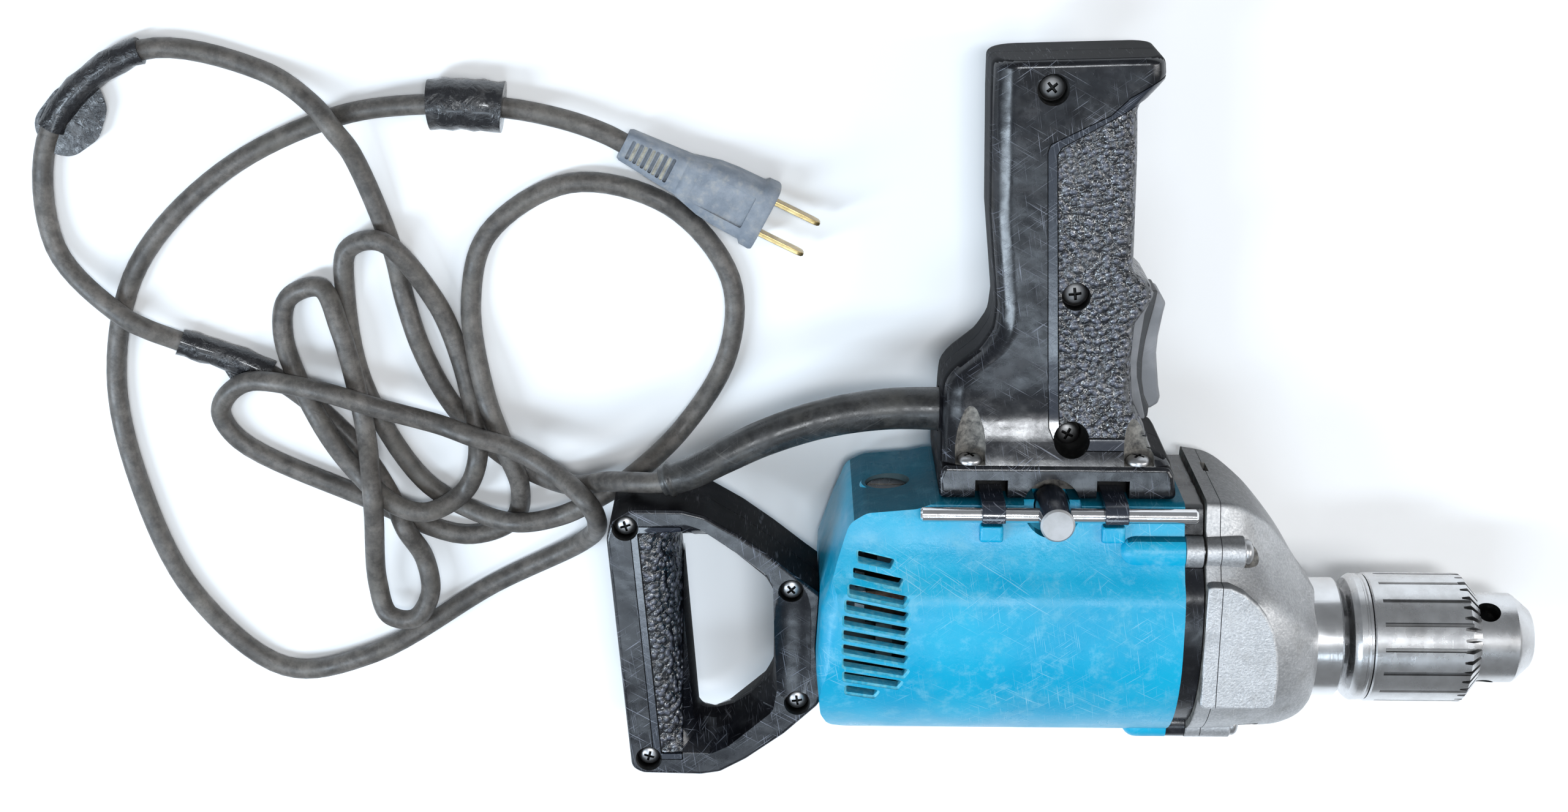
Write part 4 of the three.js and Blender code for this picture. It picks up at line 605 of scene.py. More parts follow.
def plug_rubber(name="plug_rubber", roughness=0.55, relief=0.06, size=0.5):
    recipe = Recipe(name, (0.14, 0.165, 0.2), roughness)
    recipe.mottle(8, 6, (0.24, 0.265, 0.3), rough=0.65)
    recipe.mottle(3.5, 5, (0.3, 0.3, 0.29), 0.52, 0.72, 0.5, 0.7)
    recipe.bumps(size, 3, relief, 0.7)
    recipe.dust((0.42, 0.39, 0.33), 0.4, 7)
    return recipe.done()


def brass_metal():
    recipe = Recipe("brass_metal", (0.55, 0.42, 0.2), 0.32, metallic=1.0)
    recipe.mottle(4, 6, (0.3, 0.21, 0.09), rough=0.65)
    recipe.bumps(0.8, 4, 0.03, 0.4)
    return recipe.done()


def tape_film():
    recipe = Recipe("tape_film", (0.012, 0.012, 0.014), 0.22, coat=0.3, coat_roughness=0.1)
    creases = recipe.grain(4.5, 4, 0.6, 1.2)
    recipe.wear(3, 4, 0.38)
    recipe.dent(creases, 0.9, 0.8)
    recipe.dust((0.14, 0.13, 0.12), 0.3, 6)
    return recipe.done()


def copper_metal():
    recipe = Recipe("copper_metal", (0.14, 0.09, 0.065), 0.38, metallic=0.95)
    recipe.mottle(2.5, 5, (0.07, 0.05, 0.04))
    recipe.bumps(0.7, 2, 0.1, 0.5)
    return recipe.done()


MATERIALS = {
    "housing": housing_plastic(),
    "shadowed": housing_plastic("shadowed_plastic", 0.3, 0.04),
    "vent": vent_dark(),
    "rim": vent_rim(),
    "black": black_plastic(),
    "handle": black_plastic("handle_plastic", 0.004, 0.22, 0.7, 0.25),
    "gloss": gloss_plastic(),
    "side_shade": side_shade_plastic(),
    "shade": shade_plastic(),
    "pebble": pebble_plastic(),
    "dusty": dusty_plastic(),
    "plug_dust": dusty_plastic("plug_dust", (0.22, 0.21, 0.18), (0.42, 0.4, 0.33)),
    "grey": grey_plastic(),
    "dark_grey": grey_plastic("dark_grey_plastic", 0.03),
    "cast": cast_metal(),
    "worn": cast_metal("worn_cast", 0.52, 0.34),
    "polished": turned_steel("polished_steel", 0.72, 0.18, stain=0.25),
    "chrome": turned_steel("chrome", 0.8, 0.12, False, 0.2),
    "chuck": turned_steel("chuck_steel", 0.66, 0.24, stain=0.4),
    "dark_steel": turned_steel("dark_steel", 0.24, 0.36, stain=0.6),
    "screw": turned_steel("screw_steel", 0.46, 0.34, False, 0.4),
    "key_face": turned_steel("key_face", 0.5, 0.55, False, 0.5),
    "nickel": turned_steel("dull_nickel", 0.24, 0.5, False, 0.5),
    "rubber": black_rubber("black_rubber", 0.022, 0.26, 0.3),
    "cord": black_rubber("cord_rubber", 0.06, 0.42, 0.55, 1.12),
    "plug": plug_rubber(),
    "plug_grain": plug_rubber("plug_grain", 0.3, 0.35, 1.1),
    "brass": brass_metal(),
    "tape": tape_film(),
    "copper": copper_metal(),
    "varnish": grey_plastic("coil_varnish", 0.035),
}
PAINTS = [bpy.data.materials.new(f"paint_{i}") for i in range(6)]


# Outlines
def signed_area(points):
    return sum(a[0] * b[1] - b[0] * a[1] for a, b in zip(points, points[1:] + points[:1])) / 2


def anticlockwise(points):
    return list(points) if signed_area(points) > 0 else list(reversed(points))


def inset(points, distance):
    """Moves every side of an outline inward, with mitred corners."""
    moved = []
    points = anticlockwise(points)
    for i, here in enumerate(points):
        before, here, after = Vector(points[i - 1]), Vector(here), Vector(points[(i + 1) % len(points)])
        first, second = (here - before).normalized(), (after - here).normalized()
        normal = Vector((-first.y - second.y, first.x + second.x)).normalized()
        stretch = max(normal.dot(Vector((-first.y, first.x))), 0.5)
        moved.append(tuple(here + normal * distance / stretch))
    return moved


def bend(before, here, after, radius, steps):
    """Points round one corner of a line, never past the middle of its two sides."""
    back, ahead = before - here, after - here
    turn = QUARTER * 2 - back.angle(ahead)
    reach = min(radius * math.tan(turn / 2), 0.49 * back.length, 0.49 * ahead.length)
    start, end = here + back.normalized() * reach, here + ahead.normalized() * reach
    shares = [step / steps for step in range(steps + 1)]
    return [start * (1 - share) ** 2 + here * 2 * share * (1 - share) + end * share ** 2 for share in shares]


def rounded(points, radius, distance=0.0, steps=5):
    """An outline with round corners, moved inward by a distance; every level has as many points."""
    moved = [Vector(point) for point in inset(points, distance)]
    outline = []
    for i, here in enumerate(moved):
        before, after = moved[i - 1], moved[(i + 1) % len(moved)]
        turns_left = (here - before).cross(after - here) > 0
        size = max(radius - distance, 0.15) if turns_left else radius + distance
        outline += [tuple(point) for point in bend(before, here, after, size, steps)]
    return outline


def smooth_line(points, radius, steps=6):
    """An open line with round corners."""
    points = [Vector(point) for point in points]
    corners = zip(points, points[1:], points[2:])
    return [points[0], *(place for corner in corners for place in bend(*corner, radius, steps)), points[-1]]


def value_at(line, y):
    """The X of an open line at a height; the line always rises in Y."""
    for before, after in zip(line, line[1:]):
        if before.y <= y <= after.y:
            return before.x + (after.x - before.x) * (y - before.y) / max(after.y - before.y, 1e-9)
    return line[0].x if y < line[0].y else line[-1].x


# Solids in drawing millimetres
def solid(name, vertices, faces, paint=0):
    mesh = bpy.data.meshes.new(name)
    mesh.from_pydata([tuple(vertex) for vertex in vertices], [], faces)
    obj = bpy.data.objects.new(name, mesh)
    bpy.context.scene.collection.objects.link(obj)
    work = bmesh.new()
    work.from_mesh(mesh)
    bmesh.ops.recalc_face_normals(work, faces=work.faces)
    work.to_mesh(mesh)
    work.free()
    for made in PAINTS:
        mesh.materials.append(made)
    for polygon in mesh.polygons:
        polygon.material_index = paint
    return obj


def loft(name, rings, paint=0):
    count = len(rings[0])
    vertices = [point for ring in rings for point in ring]
    faces = [tuple(reversed(range(count)))]
    for i in range(len(rings) - 1):
        for j in range(count):
            k = (j + 1) % count
            faces.append((i * count + j, i * count + k, (i + 1) * count + k, (i + 1) * count + j))
    faces.append(tuple(range((len(rings) - 1) * count, len(rings) * count)))
    return solid(name, vertices, faces, paint)


def slab(name, points, z0, z1, radius=1.0, edge=0.0, paint=0, steps=5, arc=4):
    """A plate along Z from an XY outline, its rims rounded by edge."""
    lower = [(0.0, z0)]
    if edge > 0:
        turns = [QUARTER * i / arc for i in range(arc + 1)]
        lower = [(edge * (1 - math.sin(turn)), z0 + edge * (1 - math.cos(turn))) for turn in turns]
    upper = [(shift, z1 - (z - z0)) for shift, z in reversed(lower)]
    rings = [[(x, y, z) for x, y in rounded(points, radius, shift, steps)] for shift, z in lower + upper]
    return loft(name, rings, paint)


AXES = {
    "X": (Vector((1, 0, 0)), Vector((0, 1, 0)), Vector((0, 0, 1))),
    "Y": (Vector((0, 1, 0)), Vector((0, 0, 1)), Vector((1, 0, 0))),
    "Z": (Vector((0, 0, 1)), Vector((1, 0, 0)), Vector((0, 1, 0))),
}


def round_shape(radius, sides=24):
    return [(radius * math.cos(TURN * i / sides), radius * math.sin(TURN * i / sides)) for i in range(sides)]


def spun(name, profile, axis="X", start=(0, 0, 0), sides=48, paint=0):
    """A solid of revolution from (distance along the axis, radius) pairs."""
    along, across, up = AXES[axis] if isinstance(axis, str) else axis
    rings = []
    for distance, radius in profile:
        centre = Vector(start) + along * distance
        rings.append([centre + across * a + up * b for a, b in round_shape(radius, sides)])
    return loft(name, rings, paint)


def rod(first, last, radius, axis="X", start=(0, 0, 0), sides=48, paint=0):
    return spun("rod", [(first, radius), (last, radius)], axis, start, sides, paint)


def block(x, y, z, paint=0):
    vertices = [(a, b, c) for a in x for b in y for c in z]
    faces = [(0, 1, 3, 2), (4, 6, 7, 5), (0, 4, 5, 1), (2, 3, 7, 6), (0, 2, 6, 4), (1, 5, 7, 3)]
    return solid("block", vertices, faces, paint)


def on_side(sign, inner, outer):
    """The two Z values of a stretch on the near or the far side, the lower one first."""
    return sorted((sign * inner, sign * outer))


def settle(obj):
    graph = bpy.context.evaluated_depsgraph_get()
    mesh = bpy.data.meshes.new_from_object(obj.evaluated_get(graph))
    old = obj.data
    obj.modifiers.clear()
    obj.data = mesh
    bpy.data.meshes.remove(old)
    return obj


def combine(base, others, operation):
    for other in others:
        step = base.modifiers.new("combine", "BOOLEAN")
        step.operation = operation
        step.solver = "MANIFOLD"
        step.object = other
    settle(base)
    for other in others:
        mesh = other.data
        bpy.data.objects.remove(other)
        bpy.data.meshes.remove(mesh)
    return base


def join(base, *others):
    return combine(base, others, "UNION")


def cut(base, *others):
    return combine(base, others, "DIFFERENCE")


def shared(base, *others):
    return combine(base, others, "INTERSECT")


def parted(body, name, axis, level):
    """Splits a body across an axis; returns the part beyond the seam, then the part before it."""
    twin = bpy.data.objects.new(name, body.data.copy())
    bpy.context.scene.collection.objects.link(twin)
    for piece, low, high in ((twin, -FAR, level - SEAM), (body, level + SEAM, FAR)):
        limits = [(-FAR, FAR)] * 3
        limits[axis] = (low, high)
        shared(piece, block(*limits))
    return body, twin


def finish(obj, node, materials, body="drill", smooth=32):
    """Turns a drawing solid into a piece of the scene."""
    obj.data.transform(Matrix.Translation(ZERO) @ Matrix.Scale(MM, 4))
    paints = [polygon.material_index for polygon in obj.data.polygons]
    obj.data.materials.clear()
    for name in materials:
        obj.data.materials.append(MATERIALS[name])
    for polygon, paint in zip(obj.data.polygons, paints):
        polygon.material_index = min(paint, len(materials) - 1)
    obj.data.shade_smooth()
    obj.data.set_sharp_from_angle(angle=math.radians(smooth))
    normals = obj.modifiers.new("normals", "WEIGHTED_NORMAL")
    normals.keep_sharp = True
    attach(obj, body)
    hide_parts(node)
    return obj


def at(x, y, z):
    """A drawing point in metres."""
    return ZERO + Vector((x, y, z)) * MM


# Curves
def centripetal(points, steps):
    """Points on the smooth curve through the given points, as the solids' curve runs."""
    whole = [2 * points[0] - points[1], *points, 2 * points[-1] - points[-2]]
    line = []
    for i in range(1, len(whole) - 2):
        a, b, c, d = whole[i - 1:i + 3]
        first, middle, last = [(end - start).length ** 0.5 for start, end in ((a, b), (b, c), (c, d))]
        out = ((b - a) / first - (c - a) / (first + middle) + (c - b) / middle) * middle
        into = ((c - b) / middle - (d - b) / (middle + last) + (d - c) / last) * middle
        for step in range(steps):
            t = step / steps
            square, cube = (3 * (c - b) - 2 * out - into) * t ** 2, (2 * (b - c) + out + into) * t ** 3
            line.append(b + out * t + square + cube)
    line.append(points[-1].copy())
    return line


def lifted(points):
    return [Vector((x, y, height - TABLE)) for x, y, height in points]


def rings_along(line, shape):
    """Rings across a line; shape gives each ring's points as (side, up) pairs."""
    rings = []
    for i, point in enumerate(line):
        ahead = (line[min(i + 1, len(line) - 1)] - line[max(i - 1, 0)]).normalized()
        side = Vector((0, 0, 1)).cross(ahead).normalized()
        up = ahead.cross(side)
        rings.append([point + side * a + up * b for a, b in shape(i / (len(line) - 1))])
    return rings


# Cord
def make_cord():
    line = centripetal(lifted(CORD_POINTS), 8)
    data = bpy.data.curves.new("power_cord", "CURVE")
    data.dimensions = "3D"
    data.bevel_depth = CORD_DIAMETER / 2 * MM
    data.bevel_resolution = 5
    data.use_fill_caps = True
    spline = data.splines.new("POLY")
    spline.points.add(len(line) - 1)
    for point, place in zip(spline.points, line):
        point.co = (*at(*place), 1)
    spline.use_smooth = True
    obj = bpy.data.objects.new("power_cord", data)
    bpy.context.scene.collection.objects.link(obj)
    data.materials.append(MATERIALS["cord"])
    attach(obj, "drill")
    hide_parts("cord")


def make_guard():
    def shape(share):
        lip = max(0.0, 1 - abs(share - GUARD["lip_at"]) / GUARD["lip_width"])
        return round_shape(GUARD["start"] - GUARD["taper"] * share + GUARD["lip"] * math.sqrt(lip), 32)

    guard = loft("guard_sleeve", rings_along(centripetal(lifted(GUARD_POINTS), 14), shape))
    return finish(guard, "cord_guard", ["rubber"], smooth=60)


# Housing sections across X, as (y, z) points from the bottom round to the top and back
def section(top, deck, crease, out, half, down, middle, shrink=0.0):
    right = []
    for i in range(15):
        angle = -QUARTER + QUARTER * i / 14
        y = middle + (down - shrink) * math.sin(angle)
        right.append((y, min((half - shrink) * math.cos(angle), FLAT - shrink)))
    for i in range(1, 6):
        share = i / 5
        bulge = math.sqrt(max(0.0, 1 - share ** 2)) * (half - out) + out
        right.append((middle + (crease - middle) * share, min(bulge, FLAT) - shrink))
    for i, pull in enumerate(FLANK_PULLS):
        share = (i + 1) / (len(FLANK_PULLS) + 1)
        y = crease + (top - crease - 2.5) * share
        z = out + (deck + 2.2 - out) * share
        right.append((y - shrink * 0.7, z * (pull + (1 - pull) * 0.3) - shrink))
    right += [(top - y - shrink, deck + z - shrink) for y, z in DECK_ROUND]
    return right + [(y, -z) for y, z in reversed(right[1:])]


def bar(name, outline, x0, x1, stations=1):
    places = [x0 + (x1 - x0) * i / stations for i in range(stations + 1)]
    return loft(name, [[(x, y, z) for y, z in outline] for x in places])


def capsule(y, z, radius, x0, x1):
    """A rod along X with a round rear end."""
    turns = [QUARTER * i / 6 for i in range(7)]
    dome = [(x0 + radius * (1 - math.cos(turn)), radius * max(math.sin(turn), 0.02)) for turn in turns]
    return spun("capsule", [*dome, (x1, radius)], "X", (0, y, z), 32)


def boss_places():
    bosses = (UPPER_BOSS, LOWER_BOSS)
    return [(boss, (0, boss["y"], sign * boss["z"])) for boss in bosses for sign in NEAR_AND_FAR]


def vent_cutter(index, side):
    """A slanted slot through the housing's side, wider at the surface; its walls take the rim's paint."""
    left, right = VENT_LEFTS[index], VENT_RIGHTS[index]
    middle = VENT["top"] - VENT["pitch"] * index
    long_half, high_half, lean = (right - left) / 2, VENT["height"] / 2, VENT["lean"]
    corners = [
        (-long_half, -high_half), (long_half - lean, -high_half), (long_half + lean, high_half),
        (-long_half, high_half),
    ]
    rings = []
    for grow, height in VENT_LEVELS:
        ring = []
        for a, b in rounded(corners, VENT["corner"], -grow, 3):
            x, y = (left + right) / 2 + a, middle + b - VENT["slope"] * a
            surface = min(math.sqrt(HALF ** 2 - (y - MOTOR_Y) ** 2), FLAT)
            ring.append((x, y, side * (surface + height)))
        rings.append(ring)
    return loft("vent", rings, 2)


def shade_top_faces(obj, paint):
    """Painted shade: gives the faces that look up along Y, out of the light, a darker paint."""
    for polygon in obj.data.polygons:
        if polygon.material_index == 0 and polygon.normal.y > 0.8 and polygon.center.y > 50:
            polygon.material_index = paint


def strap_catch(back, sign):
    ahead = back + STRAP_WIDTH
    outline = [(back, CATCH["low"]), (ahead, CATCH["low"]), (ahead, CATCH["high"]), (back, CATCH["high"])]
    levels = on_side(sign, CATCH["inner"], CATCH["outer"])
    return slab("catch", outline, *levels, CATCH["edge"], CATCH["edge"])


def along_y(direction):
    return (Vector((0, direction, 0)), Vector((0, 0, 1)), Vector((direction, 0, 0)))


def make_housing():
    body = bar("housing_shell", section(**HOUSING_SECTION), HOUSING["back"], HOUSING["front"], stations=24)
    half = FLAT + 0.2
    shared(body, slab("side", HOUSING_SIDE, -half, half, HOUSING["corner"], HOUSING["edge"], steps=6, arc=6))
    front = HOUSING["front"]
    added = [capsule(y, z, boss["radius"], boss["back"], front) for boss, (_, y, z) in boss_places()]
    added += [strap_catch(back, sign) for back in STRAP_BACKS for sign in NEAR_AND_FAR]
    added.append(capsule(BUMP["y"], 0, BUMP["radius"], BUMP["back"], BUMP["front"]))
    added.append(spun("collar", BRUSH_COLLAR, "Y", (BRUSH["x"], MOTOR_Y, 0)))
    join(body, *added)
    bore = rod(HOUSING["bore_back"], 3, HOUSING["bore"], "X", (0, MOTOR_Y, 0), 64, 1)
    inner = inset(HOUSING_SIDE, HOUSING["wall"])
    cuts = [shared(bore, slab("inner", inner, -FLAT, FLAT, HOUSING["inner_corner"], paint=1))]
    cuts += [vent_cutter(index, side) for index in range(len(VENT_LEFTS)) for side in NEAR_AND_FAR]
    for direction in NEAR_AND_FAR:
        place = (BRUSH["x"], MOTOR_Y + direction * BRUSH["recess"], 0)
        cuts.append(spun("cap_hole", BRUSH_HOLE, along_y(direction), place, 40, 1))
    for boss, place in boss_places():
        cuts.append(rod(SCREW_HOLE["back"], SCREW_HOLE["front"], SCREW_HOLE["radius"], "X", place, 16, 1))
    cuts.append(spun("key_seat", KEY_SEAT, "Z", (KEY["x"], KEY["y"], 0), 40))
    cut(body, *cuts)
    seam = BELLY_SEAM
    seam_y, seam_z = (BELLY - 1, BELLY + seam["depth"]), (-seam["half"], seam["half"])
    cut(body, block((seam["back"], seam["front"]), seam_y, seam_z))
    shade_top_faces(body, 3)
    finish(body, "motor_housing", ["housing", "vent", "rim", "shadowed"], smooth=28)


def make_brush_caps():
    for name, direction in (("upper", 1), ("lower", -1)):
        low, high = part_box(f"brush_cap_{name}")
        top = (high[1] if direction > 0 else low[1]) - ZERO.y
        face = MOTOR_Y + abs(top / MM - MOTOR_Y) * direction
        cap = spun(f"brush_screw_cap_{name}", BRUSH_CAP, along_y(direction), (BRUSH["x"], face, 0), 40)
        x = (BRUSH["x"] - BRUSH["slot_half"], BRUSH["x"] + BRUSH["slot_half"])
        y = sorted((face - direction * BRUSH["slot_depth"], face + direction))
        cut(cap, block(x, y, (-BRUSH["slot"], BRUSH["slot"]), 1))
        finish(cap, f"brush_cap_{name}", ["black", "dusty"])


def make_plate():
    back, front = HOUSING["front"] + PLATE["gap"], CASE["back"] - PLATE["gap"]
    motor = (0, MOTOR_Y, 0)
    plate = bar("gear_cover_plate", case_section(CASE["back"], PLATE["shrink"]), back, front)
    places = boss_places()
    lower = [rod(back, front, PLATE["lower"], "X", place, 32) for boss, place in places if boss is LOWER_BOSS]
    join(plate, rod(PLATE["spigot_back"], back + 0.3, PLATE["spigot"], "X", motor), *lower)
    first, last = back - PLATE["upper_past"], front + PLATE["upper_past"]
    upper = [rod(first, last, PLATE["upper"], "X", place, 32) for boss, place in places if boss is UPPER_BOSS]
    bearing = rod(PLATE["spigot_back"] - 1, back + 0.1, PLATE["bearing"], "X", motor)
    cut(plate, *upper, bearing, rod(-12, 8, PLATE["shaft"], "X", motor))
    rims = plate.modifiers.new("rims", "BEVEL")
    rims.width = PLATE["edge"]
    rims.segments = 2
    rims.limit_method = "ANGLE"
    rims.angle_limit = math.radians(50)
    settle(plate)
    finish(plate, "gear_plate", ["black"])


# Gear case
def case_value(key, x):
    line = [(station["x"], station[key]) for station in CASE_STATIONS]
    for i in range(len(line) - 1):
        if line[i][0] <= x <= line[i + 1][0]:
            break
    (x0, v0), (x1, v1) = line[i], line[i + 1]
    before, after = line[max(i - 1, 0)], line[min(i + 2, len(line) - 1)]
    width = x1 - x0
    m0 = (v1 - before[1]) / (x1 - before[0]) * width
    m1 = (after[1] - v0) / (after[0] - x0) * width
    t = (x - x0) / width
    return v0 + m0 * t + (3 * (v1 - v0) - 2 * m0 - m1) * t ** 2 + (2 * (v0 - v1) + m0 + m1) * t ** 3


def case_section(x, shrink):
    return section(**{key: case_value(key, x) for key in STATION_KEYS[1:]}, shrink=shrink)


def case_body(name, first, last, shrink=0.0, paint=0):
    places = [first + (last - first) * i / CASE["rings"] for i in range(CASE["rings"] + 1)]
    return loft(name, [[(x, y, z) for y, z in case_section(x, shrink)] for x in places], paint)


def make_case():
    case = case_body("gear_case", CASE["back"], CASE["front"])
    added = []
    for sign in NEAR_AND_FAR:
        added.append(slab("pad", SIDE_PAD, *on_side(sign, SIDE_PAD_ROOT, FLAT), SIDE_PAD_CORNER, 1.0, 1))
    for boss, place in boss_places():
        start = HOUSING["front"] + 0.2 if boss is UPPER_BOSS else CASE["back"]
        end, radius, edge = boss["face"], boss["radius"], CASE["boss_round"]
        profile = [(start, radius - 0.3), (start + 0.3, radius), (end - edge, radius), (end, radius - edge)]
        added.append(spun("boss", profile, "X", place, 40))
    join(case, *added, spun("collar", COLLAR, "X", (0, 0, 0), 96, 2))
    cuts = [case_body("hollow", CASE["back"] - 0.5, CASE["hollow_end"], CASE["wall"], 3)]
    for boss, (_, y, z) in boss_places():
        for profile, out in ((SCREW_POCKET, POCKET_OUT), (SCREW_REACH, REACH_OUT)):
            place = (boss["face"], y, z + math.copysign(out, z))
            cuts.append(spun("pocket", profile, "X", place, 40, 3))
    slot = (CASE["split"] + CASE_SLOT["back"], CASE["split"] + CASE_SLOT["front"])
    cuts.append(block(slot, CASE_SLOT["y"], CASE_SLOT["z"], 3))
    cuts.append(rod(COLLAR_OPENING["back"], COLLAR_OPENING["front"], COLLAR_OPENING["radius"]))
    cut(case, *cuts)
    front, rear = parted(case, "gear_case_back", 0, CASE["split"])
    for piece, node in ((front, "gear_case_front"), (rear, "gear_case_rear")):
        finish(piece, node, ["cast", "worn", "polished", "dusty"], smooth=35)


# Screws
def screw_head(name, node, number, start, axis, size, materials):
    """A domed head with a cross or one slot, each turned a little further than the one before."""
    along, across, up = AXES[axis]
    radius, height = size["radius"], size["height"]
    dome = [(height * rise, radius * wide) for rise, wide in HEAD_DOME]
    head = spun(f"{name}_{number + 1}", dome, axis, start, 40)
    join(head, rod(-size["shank"], 0.2, HEAD_STEM, axis, start, 16))
    top = Vector(start) + along * height
    arms = CROSS if size["arms"] == 2 else SLOT
    long_half, wide_half = radius * arms["long"], radius * arms["wide"]
    cuts = []
    for i in range(size["arms"]):
        angle = size["turn"] + number + i * QUARTER
        line = across * math.cos(angle) + up * math.sin(angle)
        side = across * -math.sin(angle) + up * math.cos(angle)
        rings = []
        for level, (long_grow, wide_grow) in zip((-size["depth"], SLOT_ABOVE), SLOT_LEVELS):
            corner_line, corner_side = line * long_half * long_grow, side * wide_half * wide_grow
            corners = ((-1, -1), (1, -1), (1, 1), (-1, 1))
            rings.append([top + along * level + corner_line * a + corner_side * b for a, b in corners])
        cuts.append(loft("slot", rings, 1))
    cut(head, *cuts)
    finish(head, f"{node}_{number + 1}", materials)


def make_screws():
    for i, place in enumerate(GRIP_SCREWS):
        # Painted shade: the head in the deep hole gets the dark steel, for the shade that falls on it there
        nickel_or_shaded_steel = "dark_steel" if place == GRIP_SCREWS[-1] else "nickel"
        screw_head("grip_cross_screw", "grip_screw", i, place, "Z", GRIP_SCREW, [nickel_or_shaded_steel, "shade"])
    for i, (x, y) in enumerate(HANDLE_SCREWS):
        place = (x, y, HANDLE_SCREW_LEVEL)
        screw_head("handle_cross_screw", "handle_screw", i, place, "Z", HANDLE_SCREW, ["screw", "shade"])
    base_places = [(x, BASE_SCREW_Y, sign * BASE_SCREW_Z) for x in BASE_SCREW_X for sign in NEAR_AND_FAR]
    for i, place in enumerate(base_places):
        screw_head("base_cross_screw", "base_screw", i, place, "Y", BASE_SCREW, ["screw", "shade"])
    for i, (boss, (_, y, z)) in enumerate(boss_places()):
        place = (boss["face"] + CASE_SCREW_GAP, y, z)
        screw_head("case_pan_screw", "case_screw", i, place, "X", CASE_SCREW, ["screw", "dusty"])


# Pistol grip
LEFT_LINE = smooth_line(GRIP_LEFT, GRIP_BENDS["left"])
RIGHT_LINE = smooth_line(GRIP_RIGHT, GRIP_BENDS["right"])
FLARE_LINE = smooth_line(GRIP_FLARE, GRIP_BENDS["flare"])


def grip_ring(y, shrink):
    """The grip's section at a height along Y, a round-cornered rectangle."""
    edge = GRIP["edge"]
    rise = max(0.0, y - (GRIP["top"] - edge))
    pull = shrink + edge * (1 - math.sqrt(max(0.0, 1 - (rise / edge) ** 2)))
    left, right = value_at(LEFT_LINE, y) + pull, value_at(RIGHT_LINE, y) - pull
    half = value_at(FLARE_LINE, y) - pull
    tilt = GRIP_TILT["slope"] * max(0.0, min(1.0, (y - GRIP_TILT["from"]) / GRIP_TILT["over"]))
    ring = []
    for quarter, (x_sign, z_sign) in enumerate(((1, 1), (-1, 1), (-1, -1), (1, -1))):
        radius = GRIP["right_round" if x_sign > 0 else "left_round"] - shrink
        centre_x = (right if x_sign > 0 else left) - x_sign * radius
        centre_z = z_sign * (half - radius)
        for i in range(9):
            angle = QUARTER * (quarter + i / 8)
            x, z = centre_x + radius * math.cos(angle), centre_z + radius * math.sin(angle)
            ring.append((x, y + tilt * (x - GRIP_TILT["x"]), z))
    return ring


def grip_body(name, shrink=0.0, paint=0):
    foot, edge, step = GRIP["foot"], GRIP["edge"], GRIP["step"]
    top = GRIP["top"] - shrink
    levels = [foot + i * step for i in range(int((top - edge - foot) / step))]
    levels += [top - edge + edge * math.sin(QUARTER * i / 8) for i in range(8)] + [top - 0.02]
    return loft(name, [grip_ring(y, shrink) for y in levels], paint)


def shade_sides(obj, paint):
    """Painted shade: gives the faces that look sideways, away from the halves' flat faces, a darker and
    duller paint.
    """
    for polygon in obj.data.polygons:
        if polygon.material_index == 0 and abs(polygon.normal.z) < SIDEWAYS:
            polygon.material_index = paint


def trimmed_panel(body, shape, zone, ridge_line, corner):
    """Sets pebbled panels, each with a ridge and narrow grooves round it, into a body's two faces."""
    def plate(outline, distance, paint):
        return slab("zone", inset(outline, distance), *WIDE, corner, paint=paint)

    bed = shared(shape("bed", PANEL["bed"], 3), plate(ridge_line, -PANEL["bed_grown"], 3))
    ridge = shared(shape("ridge", PANEL["ridge"], 4), plate(ridge_line, PANEL["ridge_in"], 4))
    cut(ridge, plate(zone, -PANEL["gap"], 4))
    panel = shared(shape("panel", PANEL["panel"], 1), plate(zone, PANEL["zone_in"], 1))
    cut(body, plate(ridge_line, 0, 3))
    join(body, bed, ridge, panel)


def counterbore(x, y, size, face):
    """A screw's round hole, with a bevelled rim at a half's face."""
    radius, edge = size["radius"], BORE_RIM["edge"]
    rim = [(face, radius + edge), (face + BORE_RIM["past"], radius + edge + BORE_RIM["flare"])]
    return spun("bore", [(size["floor"], radius), (face - edge, radius), *rim], "Z", (x, y, 0), 48, 3)


def screw_channel(x, sign):
    """The tapered channel above a base screw, open at the grip's side."""
    rings = []
    turns = [QUARTER * 2 * i / 16 for i in range(17)]
    middle, side = BASE_SCREW_Z + CHANNEL_SIDE["in"], sign * CHANNEL_SIDE["out"]
    for y, radius in CHANNEL:
        ring = [(x + radius * math.cos(turn), y, sign * (middle - radius * math.sin(turn))) for turn in turns]
        rings.append([*ring, (x - radius, y, side), (x + radius, y, side)])
    return loft("channel", rings, 2)


def deep_bore():
    """The hole of the third screw, which leans a little toward the grip's top."""
    x, y, _ = GRIP_SCREWS[-1]
    along, up = Vector((0, DEEP_LEAN, 1)).normalized(), Vector((0, 1, -DEEP_LEAN)).normalized()
    return spun("deep", DEEP_BORE, (along, Vector((1, 0, 0)), up), (x, y, 0), 40, 3)


def grip_cavity():
    cavity = grip_body("cavity", GRIP_WALL, 3)
    everywhere = (-FAR, FAR)
    room = block(everywhere, UPPER_ROOM, everywhere, 3)
    shared(cavity, join(room, block(everywhere, LOWER_ROOM["y"], LOWER_ROOM["z"], 3)))
    half, radius = POST["half"], POST["radius"]
    posts = [rod(-half, half, radius, "Z", (x, y, 0), 32, 3) for x, y, _ in GRIP_SCREWS]
    return cut(cavity, *posts)


def finish_halves(body, name, node, material):
    near, far = parted(body, f"{name}_far", 2, 0)
    near.name = f"{name}_near"
    materials = [material, "pebble", "dusty", "shade", "gloss", "side_shade"]
    for half, side in ((near, "near"), (far, "far")):
        shade_sides(half, 5)
        finish(half, f"{node}_{side}", materials, smooth=30)


